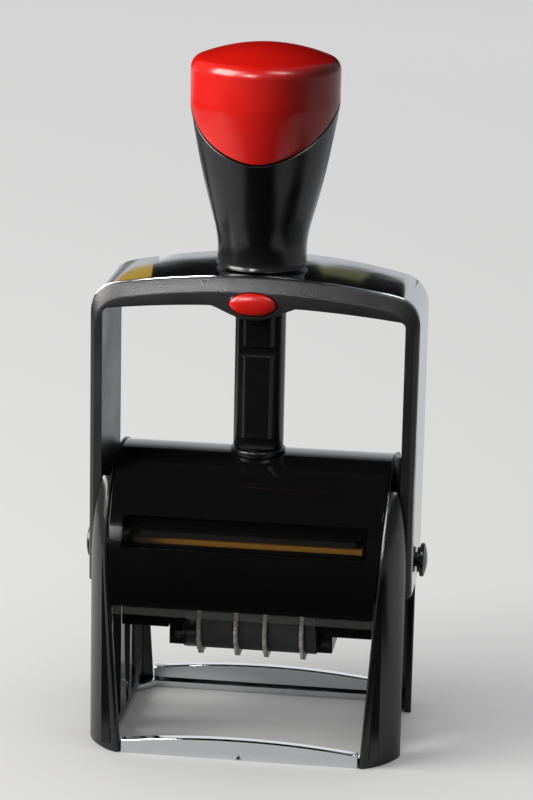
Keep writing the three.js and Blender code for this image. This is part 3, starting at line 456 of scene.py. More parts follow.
def makeNeck():
    foot, gap, wall, edge, nick = sizesOf(handle, "foot gap wall edge nick")
    bore, boreTop, spigot = sizesOf(handle, "bore boreTop spigot")
    sunk = foot - handle["spigotDepth"]
    profile = [(None, boreTop, 0, 0), straight(bore, boreTop), straight(bore, sunk),
               straight(spigot, sunk), straight(spigot, foot)]
    profile += [straight(radius, foot + rise) for radius, rise in footBead]
    low, start = sizesOf(handle, "neckStart seamStart")
    profile += [(0, low + i * (start - low) / 16, 0, 0) for i in range(17)]
    profile += [(0, start, i / 12, 0) for i in range(1, 12)]
    profile += [(0, start, 1, -gap - edge), (nick, start, 1, -gap - nick), (edge, start, 1, -gap)]
    inner, top = wall + gap, handle["innerTop"] - gap
    ledge = top - handle["coreLedge"]
    profile += [(inner, start, 1, -gap), *[(inner, ledge, 1 - i / 8, 0) for i in range(1, 8)]]
    profile += [(inner, ledge, 0, 0), (inner, top, 0, 0), (None, top, 0, 0)]
    makePiece("handleNeck", followSeam(profile), "silkyAbs", "bow", ["handle_neck"],
              "gloss_black", 50)


def makeCap():
    top, rounding, high, innerTop = sizesOf(handle, "top rounding capStart innerTop")
    palm, wall, edge, nick = sizesOf(handle, "palmRadius wall edge nick")
    curve = handle["crown"] / palm ** 2  # the crown falls off with the square of the radius
    crownEdge = palm - rounding
    for _ in range(8):  # where the crown runs smoothly into the rounded edge
        lean = math.atan(2 * curve * crownEdge)
        crownEdge = palm - rounding + rounding * math.sin(lean)
    crownFoot = top - curve * crownEdge ** 2
    corner = arc(palm - rounding, crownFoot - rounding * math.cos(lean), rounding,
                 90 - math.degrees(lean), 0, 10)
    lid = [straight(r, top - curve * r ** 2) for r in (crownEdge * i / 10 for i in range(1, 10))]
    shell = [(None, top, 0, 0), *lid, *[straight(r, z) for r, z in corner]]
    shell += [(0, high, i / 16, 0) for i in range(0, 16)]
    shell += [(0, high, 1, edge), (nick, high, 1, nick), (edge, high, 1, 0), (wall, high, 1, 0)]
    ledge = innerTop - handle["capLedge"]
    shell += [(wall, ledge, 1 - i / 6, 0) for i in range(1, 6)]
    shell += [(wall, ledge, 0, 0), (wall, innerTop, 0, 0), (None, innerTop, 0, 0)]
    makePiece("handleCap", followSeam(shell), "redAbs", "bow", ["handle_cap"], "red_plastic", 50)


makeNeck()
makeCap()
print("handle done")

# The bow: a black inner frame with a grained chamfer, and a chrome strap round the outside
bow = dict(half=44.7, top=132.7, topRadius=196, cornerStart=37.5, cornerDrop=9.15, legBottom=45,
           legInner=40.9, legTop=120, cornerFillet=1.8, underside=124.9, undersideRadius=290,
           frontMiddle=17.4, frontEnd=15.9, backMiddle=17.4, backEnd=12.7, chamfer=4,
           sideChamfer=1.6, chamferDepth=1.4, chamferFrom=118, edge=0.45, trimDepth=2.6, strap=1.2,
           strapEdge=0.4, setBack=0.1, lip=1.2, gap=0.3, bumpHalf=11.6, bumpDrop=3.9,
           bumpPower=1.2, bumpBack=-12.5, fillHalf=8.5, fillTop=125.8, fillCentre=134,
           fillRadius=13.2, spigotHole=9.8)
button = dict(height=125.5, halfWidth=6.4, halfHeight=3.05, proud=1.6, depth=2.2, gap=0.3,
              recessBack=-11.5, stem=1, stemBack=-10.5)
column = dict(radius=6.9, facet=-6.2, top=140, bore=4.1, gap=0.3, notches=(125.5, 109.6, 83.8),
              notchHeight=2.8, notchDepth=1.5, edge=0.4, foot=5.9, collar=7.5, collarTop=81.6,
              root=71)
axle = dict(height=51.5, radius=2, inner=31.9, outer=45, thickness=2.7, domeRadius=12, gap=0.1)


# The holes for the axle pins, right through both legs
def pinHoles():
    return rod(axle["radius"] + axle["gap"], "x", -60, 60, 0, axle["height"])


# Points along the outside of the bow, leg to leg, set in at the top and at the sides
def bowOutside(inset, sideInset=None):
    sideInset = inset if sideInset is None else sideInset
    half, startX = bow["half"] - sideInset, bow["cornerStart"] - sideInset
    startZ = bow["top"] - inset - startX ** 2 / (2 * bow["topRadius"])
    sideZ = startZ - bow["cornerDrop"]
    controlZ = startZ - startX / bow["topRadius"] * (half - startX)
    right = [(half, bow["legBottom"] + (sideZ - bow["legBottom"]) * i / 14) for i in range(14)]
    for i in range(13):
        t = i / 12
        right.append(((1 - t) ** 2 * half + 2 * t * (1 - t) * half + t ** 2 * startX,
                      (1 - t) ** 2 * sideZ + 2 * t * (1 - t) * controlZ + t ** 2 * startZ))
    top = [startX * (1 - i / 24) for i in range(1, 48)]
    across = [(x, bow["top"] - inset - x ** 2 / (2 * bow["topRadius"])) for x in top]
    return right + across + [(-x, z) for x, z in reversed(right)]


def underside(x):
    return bow["underside"] - x ** 2 / (2 * bow["undersideRadius"])


# The inside of the bow, with as many points as the outside and a small radius in its corners
def bowInside(lift, bump=0):
    inner, fillet, low = sizesOf(bow, "legInner cornerFillet legBottom")
    level = underside(inner - fillet) + lift
    right = [(inner, low + (level - fillet - low) * i / 14) for i in range(14)]
    right += arc(inner - fillet, level - fillet, fillet, 0, 90, 12)
    across = []
    for i in range(1, 48):
        x = (inner - fillet) * (1 - i / 24)
        share = min(1, abs(x) / bow["bumpHalf"])
        drop = max(0, math.cos(math.pi / 2 * share)) ** bow["bumpPower"]
        across.append((x, underside(x) + lift - bump * drop))
    return right + across + [(-x, z) for x, z in reversed(right)]


# The front and the back of the bow bulge a little in the middle
def bulged(end, middle, x):
    return end + (middle - end) * (1 - (x / bow["half"]) ** 2)


def bowFront(x):
    return -bulged(bow["frontEnd"], bow["frontMiddle"], x)


def bowBack(x):
    return bulged(bow["backEnd"], bow["backMiddle"], x)


# Each chain runs round the bow, with its depth at each point. They follow the section from the
# strap over the chamfer and the front face to the inside, and back under the strap
def bowSection():
    depth, trim, edge = sizesOf(bow, "chamferDepth trimDepth edge")
    across, side, bump = sizesOf(bow, "chamfer sideChamfer bumpDrop")
    under, behind = bow["strap"] + bow["gap"], trim + bow["setBack"]
    return [
        (bowOutside(0.35), lambda x: bowFront(x) + trim),
        (bowOutside(0.35), lambda x: bowFront(x) + depth + 0.15),
        (bowOutside(0.6, 0.45), lambda x: bowFront(x) + depth - 0.1),
        (bowOutside(across - 0.3, side - 0.12), lambda x: bowFront(x) + 0.1),
        (bowOutside(across + 0.3, side + 0.2), bowFront),
        (bowInside(edge, bump), bowFront),
        (bowInside(edge * 0.3, bump), lambda x: bowFront(x) + edge * 0.3),
        (bowInside(0, bump), lambda x: bowFront(x) + edge),
        (bowInside(0, bump), lambda x: bowFront(x) + trim),
        (bowInside(bow["lip"]), lambda x: bowFront(x) + behind),
        (bowInside(bow["lip"]), lambda x: bowBack(x) - bow["gap"]),
        (bowOutside(under), lambda x: bowBack(x) - bow["gap"]),
        (bowOutside(under), lambda x: bowFront(x) + behind),
    ]


def makeBow():
    section = bowSection()
    body = pulled([[(chain[i][0], depth(chain[i][0]), chain[i][1]) for chain, depth in section]
                   for i in range(len(section[0][0]))])
    half, top = sizesOf(bow, "fillHalf fillTop")
    fill = [(-half, top), (half, top), *arc(0, bow["fillCentre"], bow["fillRadius"], -50, -130, 16)]
    body = combine(body, [prism(fill, "y", bowFront(0) + 1, bow["bumpBack"])], "UNION")
    wide, tall = button["halfWidth"] + button["gap"], button["halfHeight"] + button["gap"]
    oval = [(wide * math.cos(a), button["height"] + tall * math.sin(a))
            for a in (2 * math.pi * i / 64 for i in range(64))]
    hole = rod(column["radius"] + column["gap"], "z", 100, 145, 0, 0, 64)
    body = combine(body, [hole, prism(oval, "y", -30, button["recessBack"]), pinHoles()])
    frameMesh = makePiece("bowFrame", body, "grainedAbs", "bow", ["bow_frame"],
                          "moulded_black", 28).data
    frameMesh.materials.append(materials["erodedAbs"])  # on the chamfer
    frameMesh.materials.append(materials["polishedAbs"])  # inside the legs
    for face in frameMesh.polygons:
        outward = max(face.normal.z, face.normal.x * (1 if face.center.x > 0 else -1))
        height = face.center.z / mm
        if face.normal.y < -0.6 and outward > 0.2 and height > bow["chamferFrom"]:
            face.material_index = 1
        elif outward < -0.95 and height < bow["legTop"]:
            face.material_index = 2

    near = lambda x: bowFront(x) + bow["trimDepth"] + bow["setBack"]
    rows = []
    for (x, z), (u, w) in zip(bowOutside(0), bowOutside(bow["strap"])):
        rows.append([(x, near(x), z), (u, near(x), w), (u, bowBack(x), w), (x, bowBack(x), z)])
    strap = pulled(rows)
    roundEdges(strap, bow["strapEdge"], 4, 50)
    strap = combine(strap, [rod(bow["spigotHole"], "z", 110, 150, 0, 0, 64), pinHoles()])
    makePiece("bowStrap", strap, "chromePlate", "bow", ["bow_strap"], "chrome", 28)


makeBow()


# A flat dome on an oval, with a stem to the latch behind it
def makeButton():
    wide, tall, proud, depth = sizesOf(button, "halfWidth halfHeight proud depth")
    front = -bow["frontMiddle"]
    dome = [(math.sin(a) ** 0.9, proud * math.cos(a) ** 0.75)
            for a in (math.pi / 2 * i / 10 for i in range(1, 11))]
    bm = turned([(0, proud), *dome, (1, -depth), (0, -depth)], 72)
    tipped(bm, "X")
    bmesh.ops.scale(bm, vec=(wide, 1, tall), verts=bm.verts)
    moved(bm, y=front, z=button["height"])
    stem = rod(button["stem"], "y", front + 1, button["stemBack"], 0, button["height"], 24)
    makePiece("lockButton", combine(bm, [stem], "UNION"), "redAbs", "lock_button",
              ["lock_button"], "red_plastic", 50)


makeButton()
print("bow and button done")

# The housing: barrel cover, legs and cheeks, from the same curves as the CAD
housing = dict(radius=29, wall=1.8, rim=29.4, frontBottom=42.1, rearBottom=46, windowBottom=59,
               windowTop=67.2, windowHalf=33.2, paneThickness=1.4, paneGap=0.1, footFront=28.9,
               outer=43.3, bulge=50, bulgeTop=78, plateInner=35.9, plateOuter=38.3,
               plateBottom=2.3, cheekBack=16.7, roundness=1.35, cavityTop=66, gap=0.3,
               slotHalf=33.1, slotBottom=62, slotTop=67.9, skirtHeight=1.8, edge=0.28)
innerTable = [(0, 33), (48, 36.2), (76, 37.7)]  # half the opening between the legs, by height


def innerX(z):
    return interpolated(innerTable, z)


def frontY(z):
    rise = z - axle["height"]
    if rise <= 0:
        return housing["footFront"] + (housing["rim"] - housing["footFront"]) * z / axle["height"]
    return math.sqrt(housing["rim"] ** 2 - rise ** 2)


def outerX(z):
    share = min(1, max(0, (z - housing["bulge"]) / (housing["bulgeTop"] - housing["bulge"])))
    low, high = sizesOf(housing, "plateOuter outer")
    return low + (high - low) * math.sqrt(1 - share ** 2)


# A barrel with the cover's outside less a clearance, to cut seats for what stands on it
def barrelCutter():
    return rod(housing["radius"] + housing["gap"], "x", -30, 30, 0, axle["height"], 128)


def makeCover():
    radius, height = housing["radius"], axle["height"]
    low, high, half = sizesOf(housing, "windowBottom windowTop windowHalf")
    slotLow, slotHigh, slotHalf = sizesOf(housing, "slotBottom slotTop slotHalf")
    turn = lambda z: math.degrees(math.asin(max(-1, min(1, (z - height) / radius))))
    marks = [turn(housing["frontBottom"] + 0.001), turn(low), turn(high), 90, 180 - turn(slotHigh),
             180 - turn(slotLow), 180 - turn(housing["rearBottom"])]
    angles = [marks[0]]
    for first, last in zip(marks, marks[1:]):
        count = max(2, round((last - first) / 2.5))
        angles += [first + (last - first) * i / count for i in range(1, count + 1)]
    rows = []
    for angle in angles:
        across, up = math.cos(math.radians(angle)), math.sin(math.radians(angle))
        y, z = -radius * across, height + radius * up
        stations = [innerX(z) - housing["gap"], half, slotHalf, 25, 15, 5]
        rows.append([(x, y, z) for x in stations + [-x for x in reversed(stations)]])
    bm = pulled(rows, closed=False)
    holes = []
    for face in bm.faces:
        x, y, z = face.calc_center_median()
        inWindow = y < 0 and low < z < high and abs(x) < half
        inSlot = y > 0 and slotLow < z < slotHigh and abs(x) < slotHalf
        if inWindow or inSlot:
            holes.append(face)
    bmesh.ops.delete(bm, geom=holes, context="FACES")
    facedOut(bm)
    top = max(bm.faces, key=lambda f: f.calc_center_median().z)
    if top.normal.z < 0:
        bmesh.ops.reverse_faces(bm, faces=bm.faces)
    bmesh.ops.solidify(bm, geom=bm.faces, thickness=housing["wall"])

    def atWindow(vertex):
        x, y, z = vertex.co
        return y < 0 and low - 0.5 < z < high + 0.5 and abs(x) < half + 0.3

    # The window's edges stay sharp, because the pane lies flush in them
    roundEdges(bm, housing["edge"], 3, 50, lambda e: not all(atWindow(v) for v in e.verts))
    makePiece("barrelCover", bm, "polishedAbs", "root", ["barrel_cover"], "gloss_black", 40)


def makePane():
    gap = housing["paneGap"]
    outer, height = housing["radius"] - gap, axle["height"]
    low, high = housing["windowBottom"] + gap, housing["windowTop"] - gap
    inner = outer - housing["paneThickness"]
    at = lambda radius, z: -math.sqrt(radius ** 2 - (z - height) ** 2)
    levels = [low + (high - low) * i / 6 for i in range(7)]
    outline = [(at(outer, z), z) for z in levels] + [(at(inner, z), z) for z in reversed(levels)]
    half = housing["windowHalf"] - gap
    bm = prism(outline, "x", -half, half)
    makePiece("sightWindow", bm, "smokedAcrylic", "root", ["sight_window"], "smoky_clear", 40)


def makeSkirt():
    half, front = innerX(housing["frontBottom"]) - housing["gap"], -housing["radius"]
    top = housing["frontBottom"] - housing["paneGap"]
    bm = block((-half, half), (front, front + housing["wall"]), (top - housing["skirtHeight"], top))
    roundEdges(bm, 0.35, 3, 50)
    makePiece("clearSkirt", bm, "clearAcrylic", "root", ["clear_skirt"], "smoky_clear", 40)


# One leg's outline at a height: the rounded inner edge, the front, the corner and what is
# behind, which is a thin wall low down and solid at the top
def legOutline(z, solid):
    inner, front, outer, back = innerX(z), frontY(z), outerX(z), housing["cheekBack"]
    depth = front - back
    wall = min(housing["wall"], depth * 0.8)
    curve = lambda t, thick: (
        inner + (outer - thick - inner) * math.sin(t) ** housing["roundness"],
        -back - (front - thick - back) * max(0, math.cos(t)) ** housing["roundness"])
    fine, edge = 22, min(0.9, depth * 0.4)
    first = math.asin((edge / (outer - inner)) ** (1 / housing["roundness"]))
    points = [curve(first + (math.pi / 2 - first) * i / fine, 0) for i in range(fine + 1)]
    points[-1] = (outer, -back - min(0.4, depth * 0.3))
    points.append((outer - 0.4, -back))
    lead = points[0]
    points = arc(inner + edge, lead[1] + edge, edge, 180, 270, 6)[:-1] + points
    if solid:
        behind = [(outer - wall - (outer - wall - inner) * i / 12, -back) for i in range(13)]
        deep = max(0, front - wall - back)
        behind += [(inner, -back - deep * i / 11) for i in range(1, 12)]
    else:
        behind = [curve(math.pi / 2 * (1 - i / 23), wall) for i in range(24)]
    return [(x, y, z) for x, y in points + behind]


# The side plate guides the axle in a straight slot, and the carrier's pegs in a curved groove.
# It lies a hair inside the faces of the legs, as faces in one plane don't join the same way twice
plate = dict(rimEdge=16.6, frontGap=0.9, windows=((-24, -11), (6.2, 24)), windowHeights=(5, 42),
             slotRadius=3.4, travel=41.7, pegReach=4.4, pegRadius=1.6, grooveDepth=1.2, hair=0.05,
             rail=(31.8, 36.5), railHalf=18, railThickness=1.3, railHeight=11)


def pegGroove():
    height, reach, radius = axle["height"], plate["pegReach"], plate["pegRadius"]
    turns = [math.pi * i / 24 for i in range(25)]
    path = [(-reach * math.sin(a), height - plate["travel"] * i / 24 + reach * math.cos(a))
            for i, a in enumerate(turns)]
    one, two = [], []
    for i, (y, z) in enumerate(path):
        (y0, z0), (y1, z1) = path[max(0, i - 1)], path[min(24, i + 1)]
        length = math.hypot(y1 - y0, z1 - z0)
        u, v = (z1 - z0) / length * radius, (y0 - y1) / length * radius
        one.append((y + u, z + v))
        two.append((y - u, z - v))
    across = (30, housing["plateInner"] + plate["grooveDepth"])
    ends = [rod(radius, "x", *across, y, z, 24) for y, z in (path[0], path[-1])]
    return [prism(one + list(reversed(two)), "x", *across), *ends]


def makePlate():
    height, low, hair = axle["height"], axle["height"] - plate["travel"], plate["hair"]
    rimFrom = math.degrees(math.acos(plate["rimEdge"] / housing["rim"]))
    levels = (74, 66, 60, 55, 51.5, 30, housing["plateBottom"])
    front = [(frontY(z) - plate["frontGap"], z) for z in levels]
    outline = arc(0, height, housing["rim"], 180 - rimFrom, rimFrom, 48)
    outline += front + [(-y, z) for y, z in reversed(front)]
    bm = prism(outline, "x", housing["plateInner"], housing["plateOuter"] - hair)
    cuts = [block((30, 50), window, plate["windowHeights"]) for window in plate["windows"]]
    slot = plate["slotRadius"]
    cuts.append(prism([*arc(0, height, slot, 0, 180, 24), *arc(0, low, slot, 180, 360, 24)],
                      "x", 30, 50))
    cuts += pegGroove()
    # Between the legs the plate ends inside the barrel cover
    halves = [(innerX(z) + hair, z) for z in (41.8, 48, 60, 68, 76, 90)]
    between = pulled([[(x, y, z) for x, y in rectangle(-half, half, -40, 40)]
                      for half, z in halves])
    inside = housing["radius"] - housing["wall"] - housing["gap"]
    barrel = prism([(-inside, -1), *arc(0, height, inside, 180, 0, 64), (inside, -1)], "x", -60, 60)
    cuts.append(combine(between, [barrel]))
    return combine(bm, cuts)


def makeSides():
    top = housing["cavityTop"]
    thin = [0, 6, 12, 18, 24, 30, 36, 42, 46, 50, 52, 54, 56, 58, 60, 62, 64, top]
    thick = [top + 0.001, 68, 70, 71.5, 72.7, 73.7, 74.5, 75.1, 75.5]
    leg = pulled([legOutline(z, False) for z in thin] + [legOutline(z, True) for z in thick])
    railTop = axle["height"] + plate["railHeight"] - housing["gap"]
    half, railLow = plate["railHalf"], railTop - plate["railThickness"]
    rail = block(plate["rail"], (-half, half), (railLow, railTop))
    side = combine(leg, [mirroredCopy(leg, 1, -1), makePlate(), rail], "UNION")
    makePair("sideFrame", "side_frame", side, "satinAbs", "root", "moulded_black", 32)


makeCover()
makePane()
makeSkirt()
makeSides()
print("housing done")

# The chrome frame. Each lip is (height in the middle, height at the ends)
base = dict(thickness=2, front=26.2, bar=2, lip=2.6, lipHalf=32.6, overlap=0.4, railInner=36,
            railOuter=38.2, railEnd=20, frontLip=(5.7, 3.7), rearLip=(7.7, 5.5), notch=1.6,
            edge=0.3, lipEdge=0.45)


def makeBase():
    def ring(x, y, cornerX, cornerY):
        right = [(x, -cornerY), (x, cornerY), (cornerX, y)]
        left = [(-cornerX, y), (-x, cornerY), (-x, -cornerY)]
        return right + left + [(-cornerX, -y), (cornerX, -y)]

    half, front, railEnd = sizesOf(base, "lipHalf front railEnd")
    outside = ring(base["railOuter"], front, half, railEnd)
    inside = ring(base["railInner"], front - base["bar"], half - 1, railEnd - 1)
    floorRing = combine(prism(outside, "z", 0, base["thickness"]), [prism(inside, "z", -2, 6)])
    roundEdges(floorRing, base["edge"], 2, 40)
    parts = []
    for (middle, end), side in ((base["frontLip"], -1), (base["rearLip"], 1)):
        sag = middle - end
        radius = (half ** 2 + sag ** 2) / (2 * sag)
        reach = math.degrees(math.asin(half / radius))
        top = arc(0, middle - radius, radius, 90 - reach, 90 + reach, 48)
        notch = [(-base["notch"] / 2, 0), (0, base["notch"]), (base["notch"] / 2, 0)]
        near = front - base["overlap"]
        depth = sorted((side * near, side * (near + base["lip"])))
        lip = prism([*top, (-half, 0), *notch, (half, 0)], "y", *depth)
        roundEdges(lip, base["lipEdge"], 3, 40, lambda e: min(v.co.z for v in e.verts) > 0.5)
        parts.append(lip)
    bm = combine(floorRing, parts, "UNION")
    makePiece("baseFrame", bm, "chromePlate", "root", ["base_frame"], "chrome", 32)


def makeColumn():
    radius, facet, top, bore = sizesOf(column, "radius facet top bore")
    half = math.degrees(math.acos(-facet / radius))
    shoulder, root = column["collarTop"] + column["gap"], column["root"]
    tube = prism(arc(0, 0, radius, -90 + half, 270 - half, 72), "z", shoulder, top)
    roundEdges(tube, column["edge"], 3, 50)
    tube = combine(tube, [rod(column["foot"], "z", root, shoulder + 1, 0, 0, 72)], "UNION")
    cuts = [barrelCutter(), rod(bore, "z", 60, top + 5)]
    reach, tall = radius + 1, column["notchHeight"] / 2
    for z in column["notches"]:
        deep = (facet - 5, facet + column["notchDepth"])
        cuts.append(block((-reach, reach), deep, (z - tall, z + tall)))
    makePiece("guideColumn", combine(tube, cuts), "satinAbs", "root", ["guide_column"],
              "satin_black", 30)


def makeCollar():
    outer, top, root = sizesOf(column, "collar collarTop root")
    bore = column["foot"] + column["gap"]
    profile = [(bore, root), (bore, top - 0.15), (bore + 0.15, top), (outer - 0.5, top),
               (outer - 0.25, top - 0.07), (outer - 0.07, top - 0.25), (outer, top - 0.5),
               (outer, root), (bore, root)]
    ring = combine(turned(profile, 96), [barrelCutter()])
    makePiece("columnCollar", ring, "satinAbs", "root", ["column_collar"], "satin_black", 30)


# A wire coil: a round section spun along its axis
def coil(radius, wire, bottom, top, turns):
    bm = bmesh.new()
    bmesh.ops.create_circle(bm, segments=12, radius=wire, cap_ends=True)
    tipped(bm, "X")
    moved(bm, x=radius, z=bottom + wire)
    steps = round(turns * 32)
    rise = (top - bottom - 2 * wire) / steps
    section = bm.faces[:] + bm.edges[:] + bm.verts[:]
    bmesh.ops.spin(bm, geom=section, cent=(0, 0, 0), axis=(0, 0, 1), dvec=(0, 0, rise),
                   angle=2 * math.pi * turns, steps=steps, use_duplicate=False)
    return facedOut(bm)


returnCoil = dict(radius=3.2, wire=0.6, bottom=81.1, top=183.7, turns=16)
buttonCoil = dict(radius=2.5, wire=0.3, bottom=0, top=3.1, turns=2.5)
buttonCoilFront = -11.8


def makeSprings():
    spring = makePiece("returnSpring", coil(**returnCoil), "springWire", "root", ["return_spring"],
                       "spring_steel", 60)
    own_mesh(spring)
    bm = coil(**buttonCoil)
    tipped(bm, "X")
    moved(bm, y=buttonCoilFront, z=button["height"])
    small = makePiece("buttonSpring", bm, "springWire", "bow", ["button_spring"],
                      "spring_steel", 60)
    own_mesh(small)


# The edge of a pin's head and its collar, as (radius, distance from the strap)
pinHead = [(4.45, 1.9), (4.7, 1.45), (4.7, 1.05), (4.5, 0.8), (3.5, 0.6), (3.5, 0)]


# Each pin is a profile of (radius, x): the dome of the head, its edge and collar, and the shank
def makePins():
    radius, inner, outer, swing = sizesOf(axle, "radius inner outer domeRadius")
    dome = arc(outer + axle["thickness"] - swing, 0, swing, 0, 20, 6)
    profile = [(r, x) for x, r in dome] + [(r, outer + x) for r, x in pinHead]
    profile += [(radius, outer), (radius, inner + 0.3), (radius - 0.3, inner), (0, inner)]
    pin = turned(profile, 64)
    tipped(pin, "Y")
    moved(pin, z=axle["height"])
    makePair("axlePin", "axle_pin", pin, "satinAbs", "bow", "satin_black", 40)


makeBase()
makeColumn()
makeCollar()
makeSprings()
makePins()
print("base, column, springs and pins done")

# Each wheel is a thin disc with rounded teeth and a drum for its band
wheels = dict(centre=29.9, disc=9.5, thickness=1.2, teeth=18, tooth=0.7, toothPower=0.7, drum=6.3,
              bore=1.6, edge=0.3, gap=0.3, starts=(-15.2, -4.8, 3.3, 13.6), end=17.9)


def toothedRim():
    teeth, centre = sizesOf(wheels, "teeth centre")
    rim = []
    for i in range(teeth * 8):
        angle = 2 * math.pi * i / (teeth * 8)
        wave = 0.5 - 0.5 * math.cos(teeth * angle)
        radius = wheels["disc"] - wheels["tooth"] * wave ** wheels["toothPower"]
        rim.append((radius * math.cos(angle), centre + radius * math.sin(angle)))
    return rim


def makeWheels():
    centre, starts = sizesOf(wheels, "centre starts")
    ends = [start - wheels["gap"] for start in starts[1:]] + [wheels["end"]]
    for number, (start, end) in enumerate(zip(starts, ends), 1):
        disc = prism(toothedRim(), "x", start, start + wheels["thickness"])
        roundEdges(disc, wheels["edge"], 3, 50)
        drum = rod(wheels["drum"], "x", start + 0.5, end, 0, centre, 64)
        hole = rod(wheels["bore"], "x", start - 1, end + 1, 0, centre, 32)
        bm = combine(combine(disc, [drum], "UNION"), [hole])
        node = f"date_wheel_{number}"
        makePiece(f"dateWheel{number}", bm, "paleAcetal", node, [node], "pale_plastic")


makeWheels()

# Pieces whose CAD shape is right, and that only need their edges rounded: name, node, body,
# finish, slot and how far the edges are rounded
softPieces = [
    ("carrierFrame", "carrier_frame", "type_carrier", "satinAbs", "satin_black", 0.25),
    ("plateHolder", "plate_holder", "type_carrier", "satinAbs", "satin_black", 0.15),
    ("plateCushion", "plate_cushion", "type_carrier", "amberFoam", "amber_foam", 0.2),
    ("textPlate", "text_plate", "type_carrier", "stampRubber", "text_rubber", 0.12),
    ("dateFrame", "date_frame", "type_carrier", "satinAbs", "satin_black", 0.25),
    ("wheelShaft", "date_wheel_shaft", "type_carrier", "drawnSteel", "steel", 0.2),
    *[(f"dateBand{n}", f"date_band_{n}", "type_carrier", "bandRubber", "band_rubber", 0.15)
      for n in (1, 2, 3, 4)],
    ("latchBlade", "latch_blade", "lock_button", "drawnSteel", "steel", 0.15),
    ("guideBushLeft", "guide_bush_left", "bow", "paleAcetal", "pale_plastic", 0.2),
    ("guideBushRight", "guide_bush_right", "bow", "paleAcetal", "pale_plastic", 0.2),
    ("padTray", "pad_tray", "pad_drawer", "satinAbs", "satin_black", 0.25),
    ("inkPad", "ink_pad", "pad_drawer", "inkedFelt", "pad_felt", 0.5),
]
for name, node, body, finish, slotName, width in softPieces:
    makePiece(name, softened(node, width), finish, body, [node], slotName)
print("inner pieces done")

# A large pale table top, cards and cloths that only reflections see, which paint reflections and
# highlights, and one soft studio lamp
studio = dict(floorSize=24, floorDrop=0.00005, floorColour="#909091", floorShade="#8b8b8c",
              cloudScale=6, glowNear="#bcbcbc", glowFar="#cccccc", near=0.1, far=1.3,
              mirrored=0.75, shadeReach=0.12, ambient="#303032", walls="#7e8083", dark="#060606")
# The crown of the barrel mirrors a card that fades upwards, a painted reflection band: (name, low,
# high, glow)
crownCards = [("Low", 0.108, 0.12, 1.2), ("Middle", 0.12, 0.131, 0.75),
              ("High", 0.131, 0.142, 0.35)]
# Each card shows only in reflections, as a painted highlight or a painted pale, coloured or dark
# reflection, and is an outline in (x, z) at its distance to the back
cards = [
    dict(name="nearCard", colour="#c4c6ca", y=0.235, outline=(
        (-0.11, 0), (0.12, 0), (0.12, 0.18), (0.045, 0.185), (0, 0.187), (-0.03, 0.1835),
        (-0.06, 0.1765), (-0.094, 0.165), (-0.11, 0.16))),
    dict(name="rightCard", colour="#b6b8bc", y=0.235, outline=rectangle(0.12, 0.36, 0, 0.112)),
    dict(name="barrelCard", colour="#d6d8dc", y=0.232, glow=1.3,
         outline=rectangle(-0.08, 0.03, 0, 0.168)),
    *[dict(name="crownCard" + name, colour="#d6d8dc", y=0.1, glow=glow,
           outline=rectangle(-0.09, 0.06, low, high)) for name, low, high, glow in crownCards],
    # Painted coloured reflections on the strap's top: a warm one at the left, a greenish one near
    # the middle
    dict(name="warmCard", colour="#b5963f", y=0.239, outline=(
        (-0.115, 0.155), (-0.084, 0.165), (-0.086, 0.176), (-0.115, 0.172))),
    dict(name="mossCard", colour="#55583f", y=0.239, outline=(
        (-0.004, 0.188), (0.024, 0.188), (0.02, 0.192), (0, 0.192))),
    dict(name="backDark", y=0.242, outline=rectangle(-0.22, 0.09, 0.15, 1.2)),
    dict(name="frontDark", y=-1.25, outline=rectangle(-0.45, 0.1, 0, 1.2)),
    # Painted highlights: these two bright cards glint on the bow's chamfer, the cap's rim and the
    # strap's edge
    dict(name="frontCard", colour="#ffffff", y=-1, glow=36,
         outline=rectangle(-0.41, -0.26, 0.42, 0.72)),
    dict(name="overCard", colour="#ffffff", y=-0.55, glow=14,
         outline=rectangle(0.22, 0.62, 0.88, 1.24)),
]
# Dark cloths on the table and one overhead, which only reflections see and which paint them dark,
# as (x, y) outlines
cloths = [
    dict(name="frontCloth", outline=(
        (-1.2, -1.6), (1.2, -1.6), (1.2, -0.25), (0.12, -0.25), (0.12, -0.048), (-0.12, -0.048),
        (-0.12, -0.25), (-1.2, -0.25))),
    dict(name="rightCloth", outline=rectangle(0.12, 0.34, -0.12, 0)),
    dict(name="leftCloth", outline=rectangle(-1.3, -0.48, -0.25, 0.8)),
    dict(name="backCloth", outline=rectangle(-0.4, 0.4, 0.24, 1.4)),
    dict(name="overCloth", height=1.2, outline=rectangle(-0.36, 0.06, -1.25, 0.242)),
]
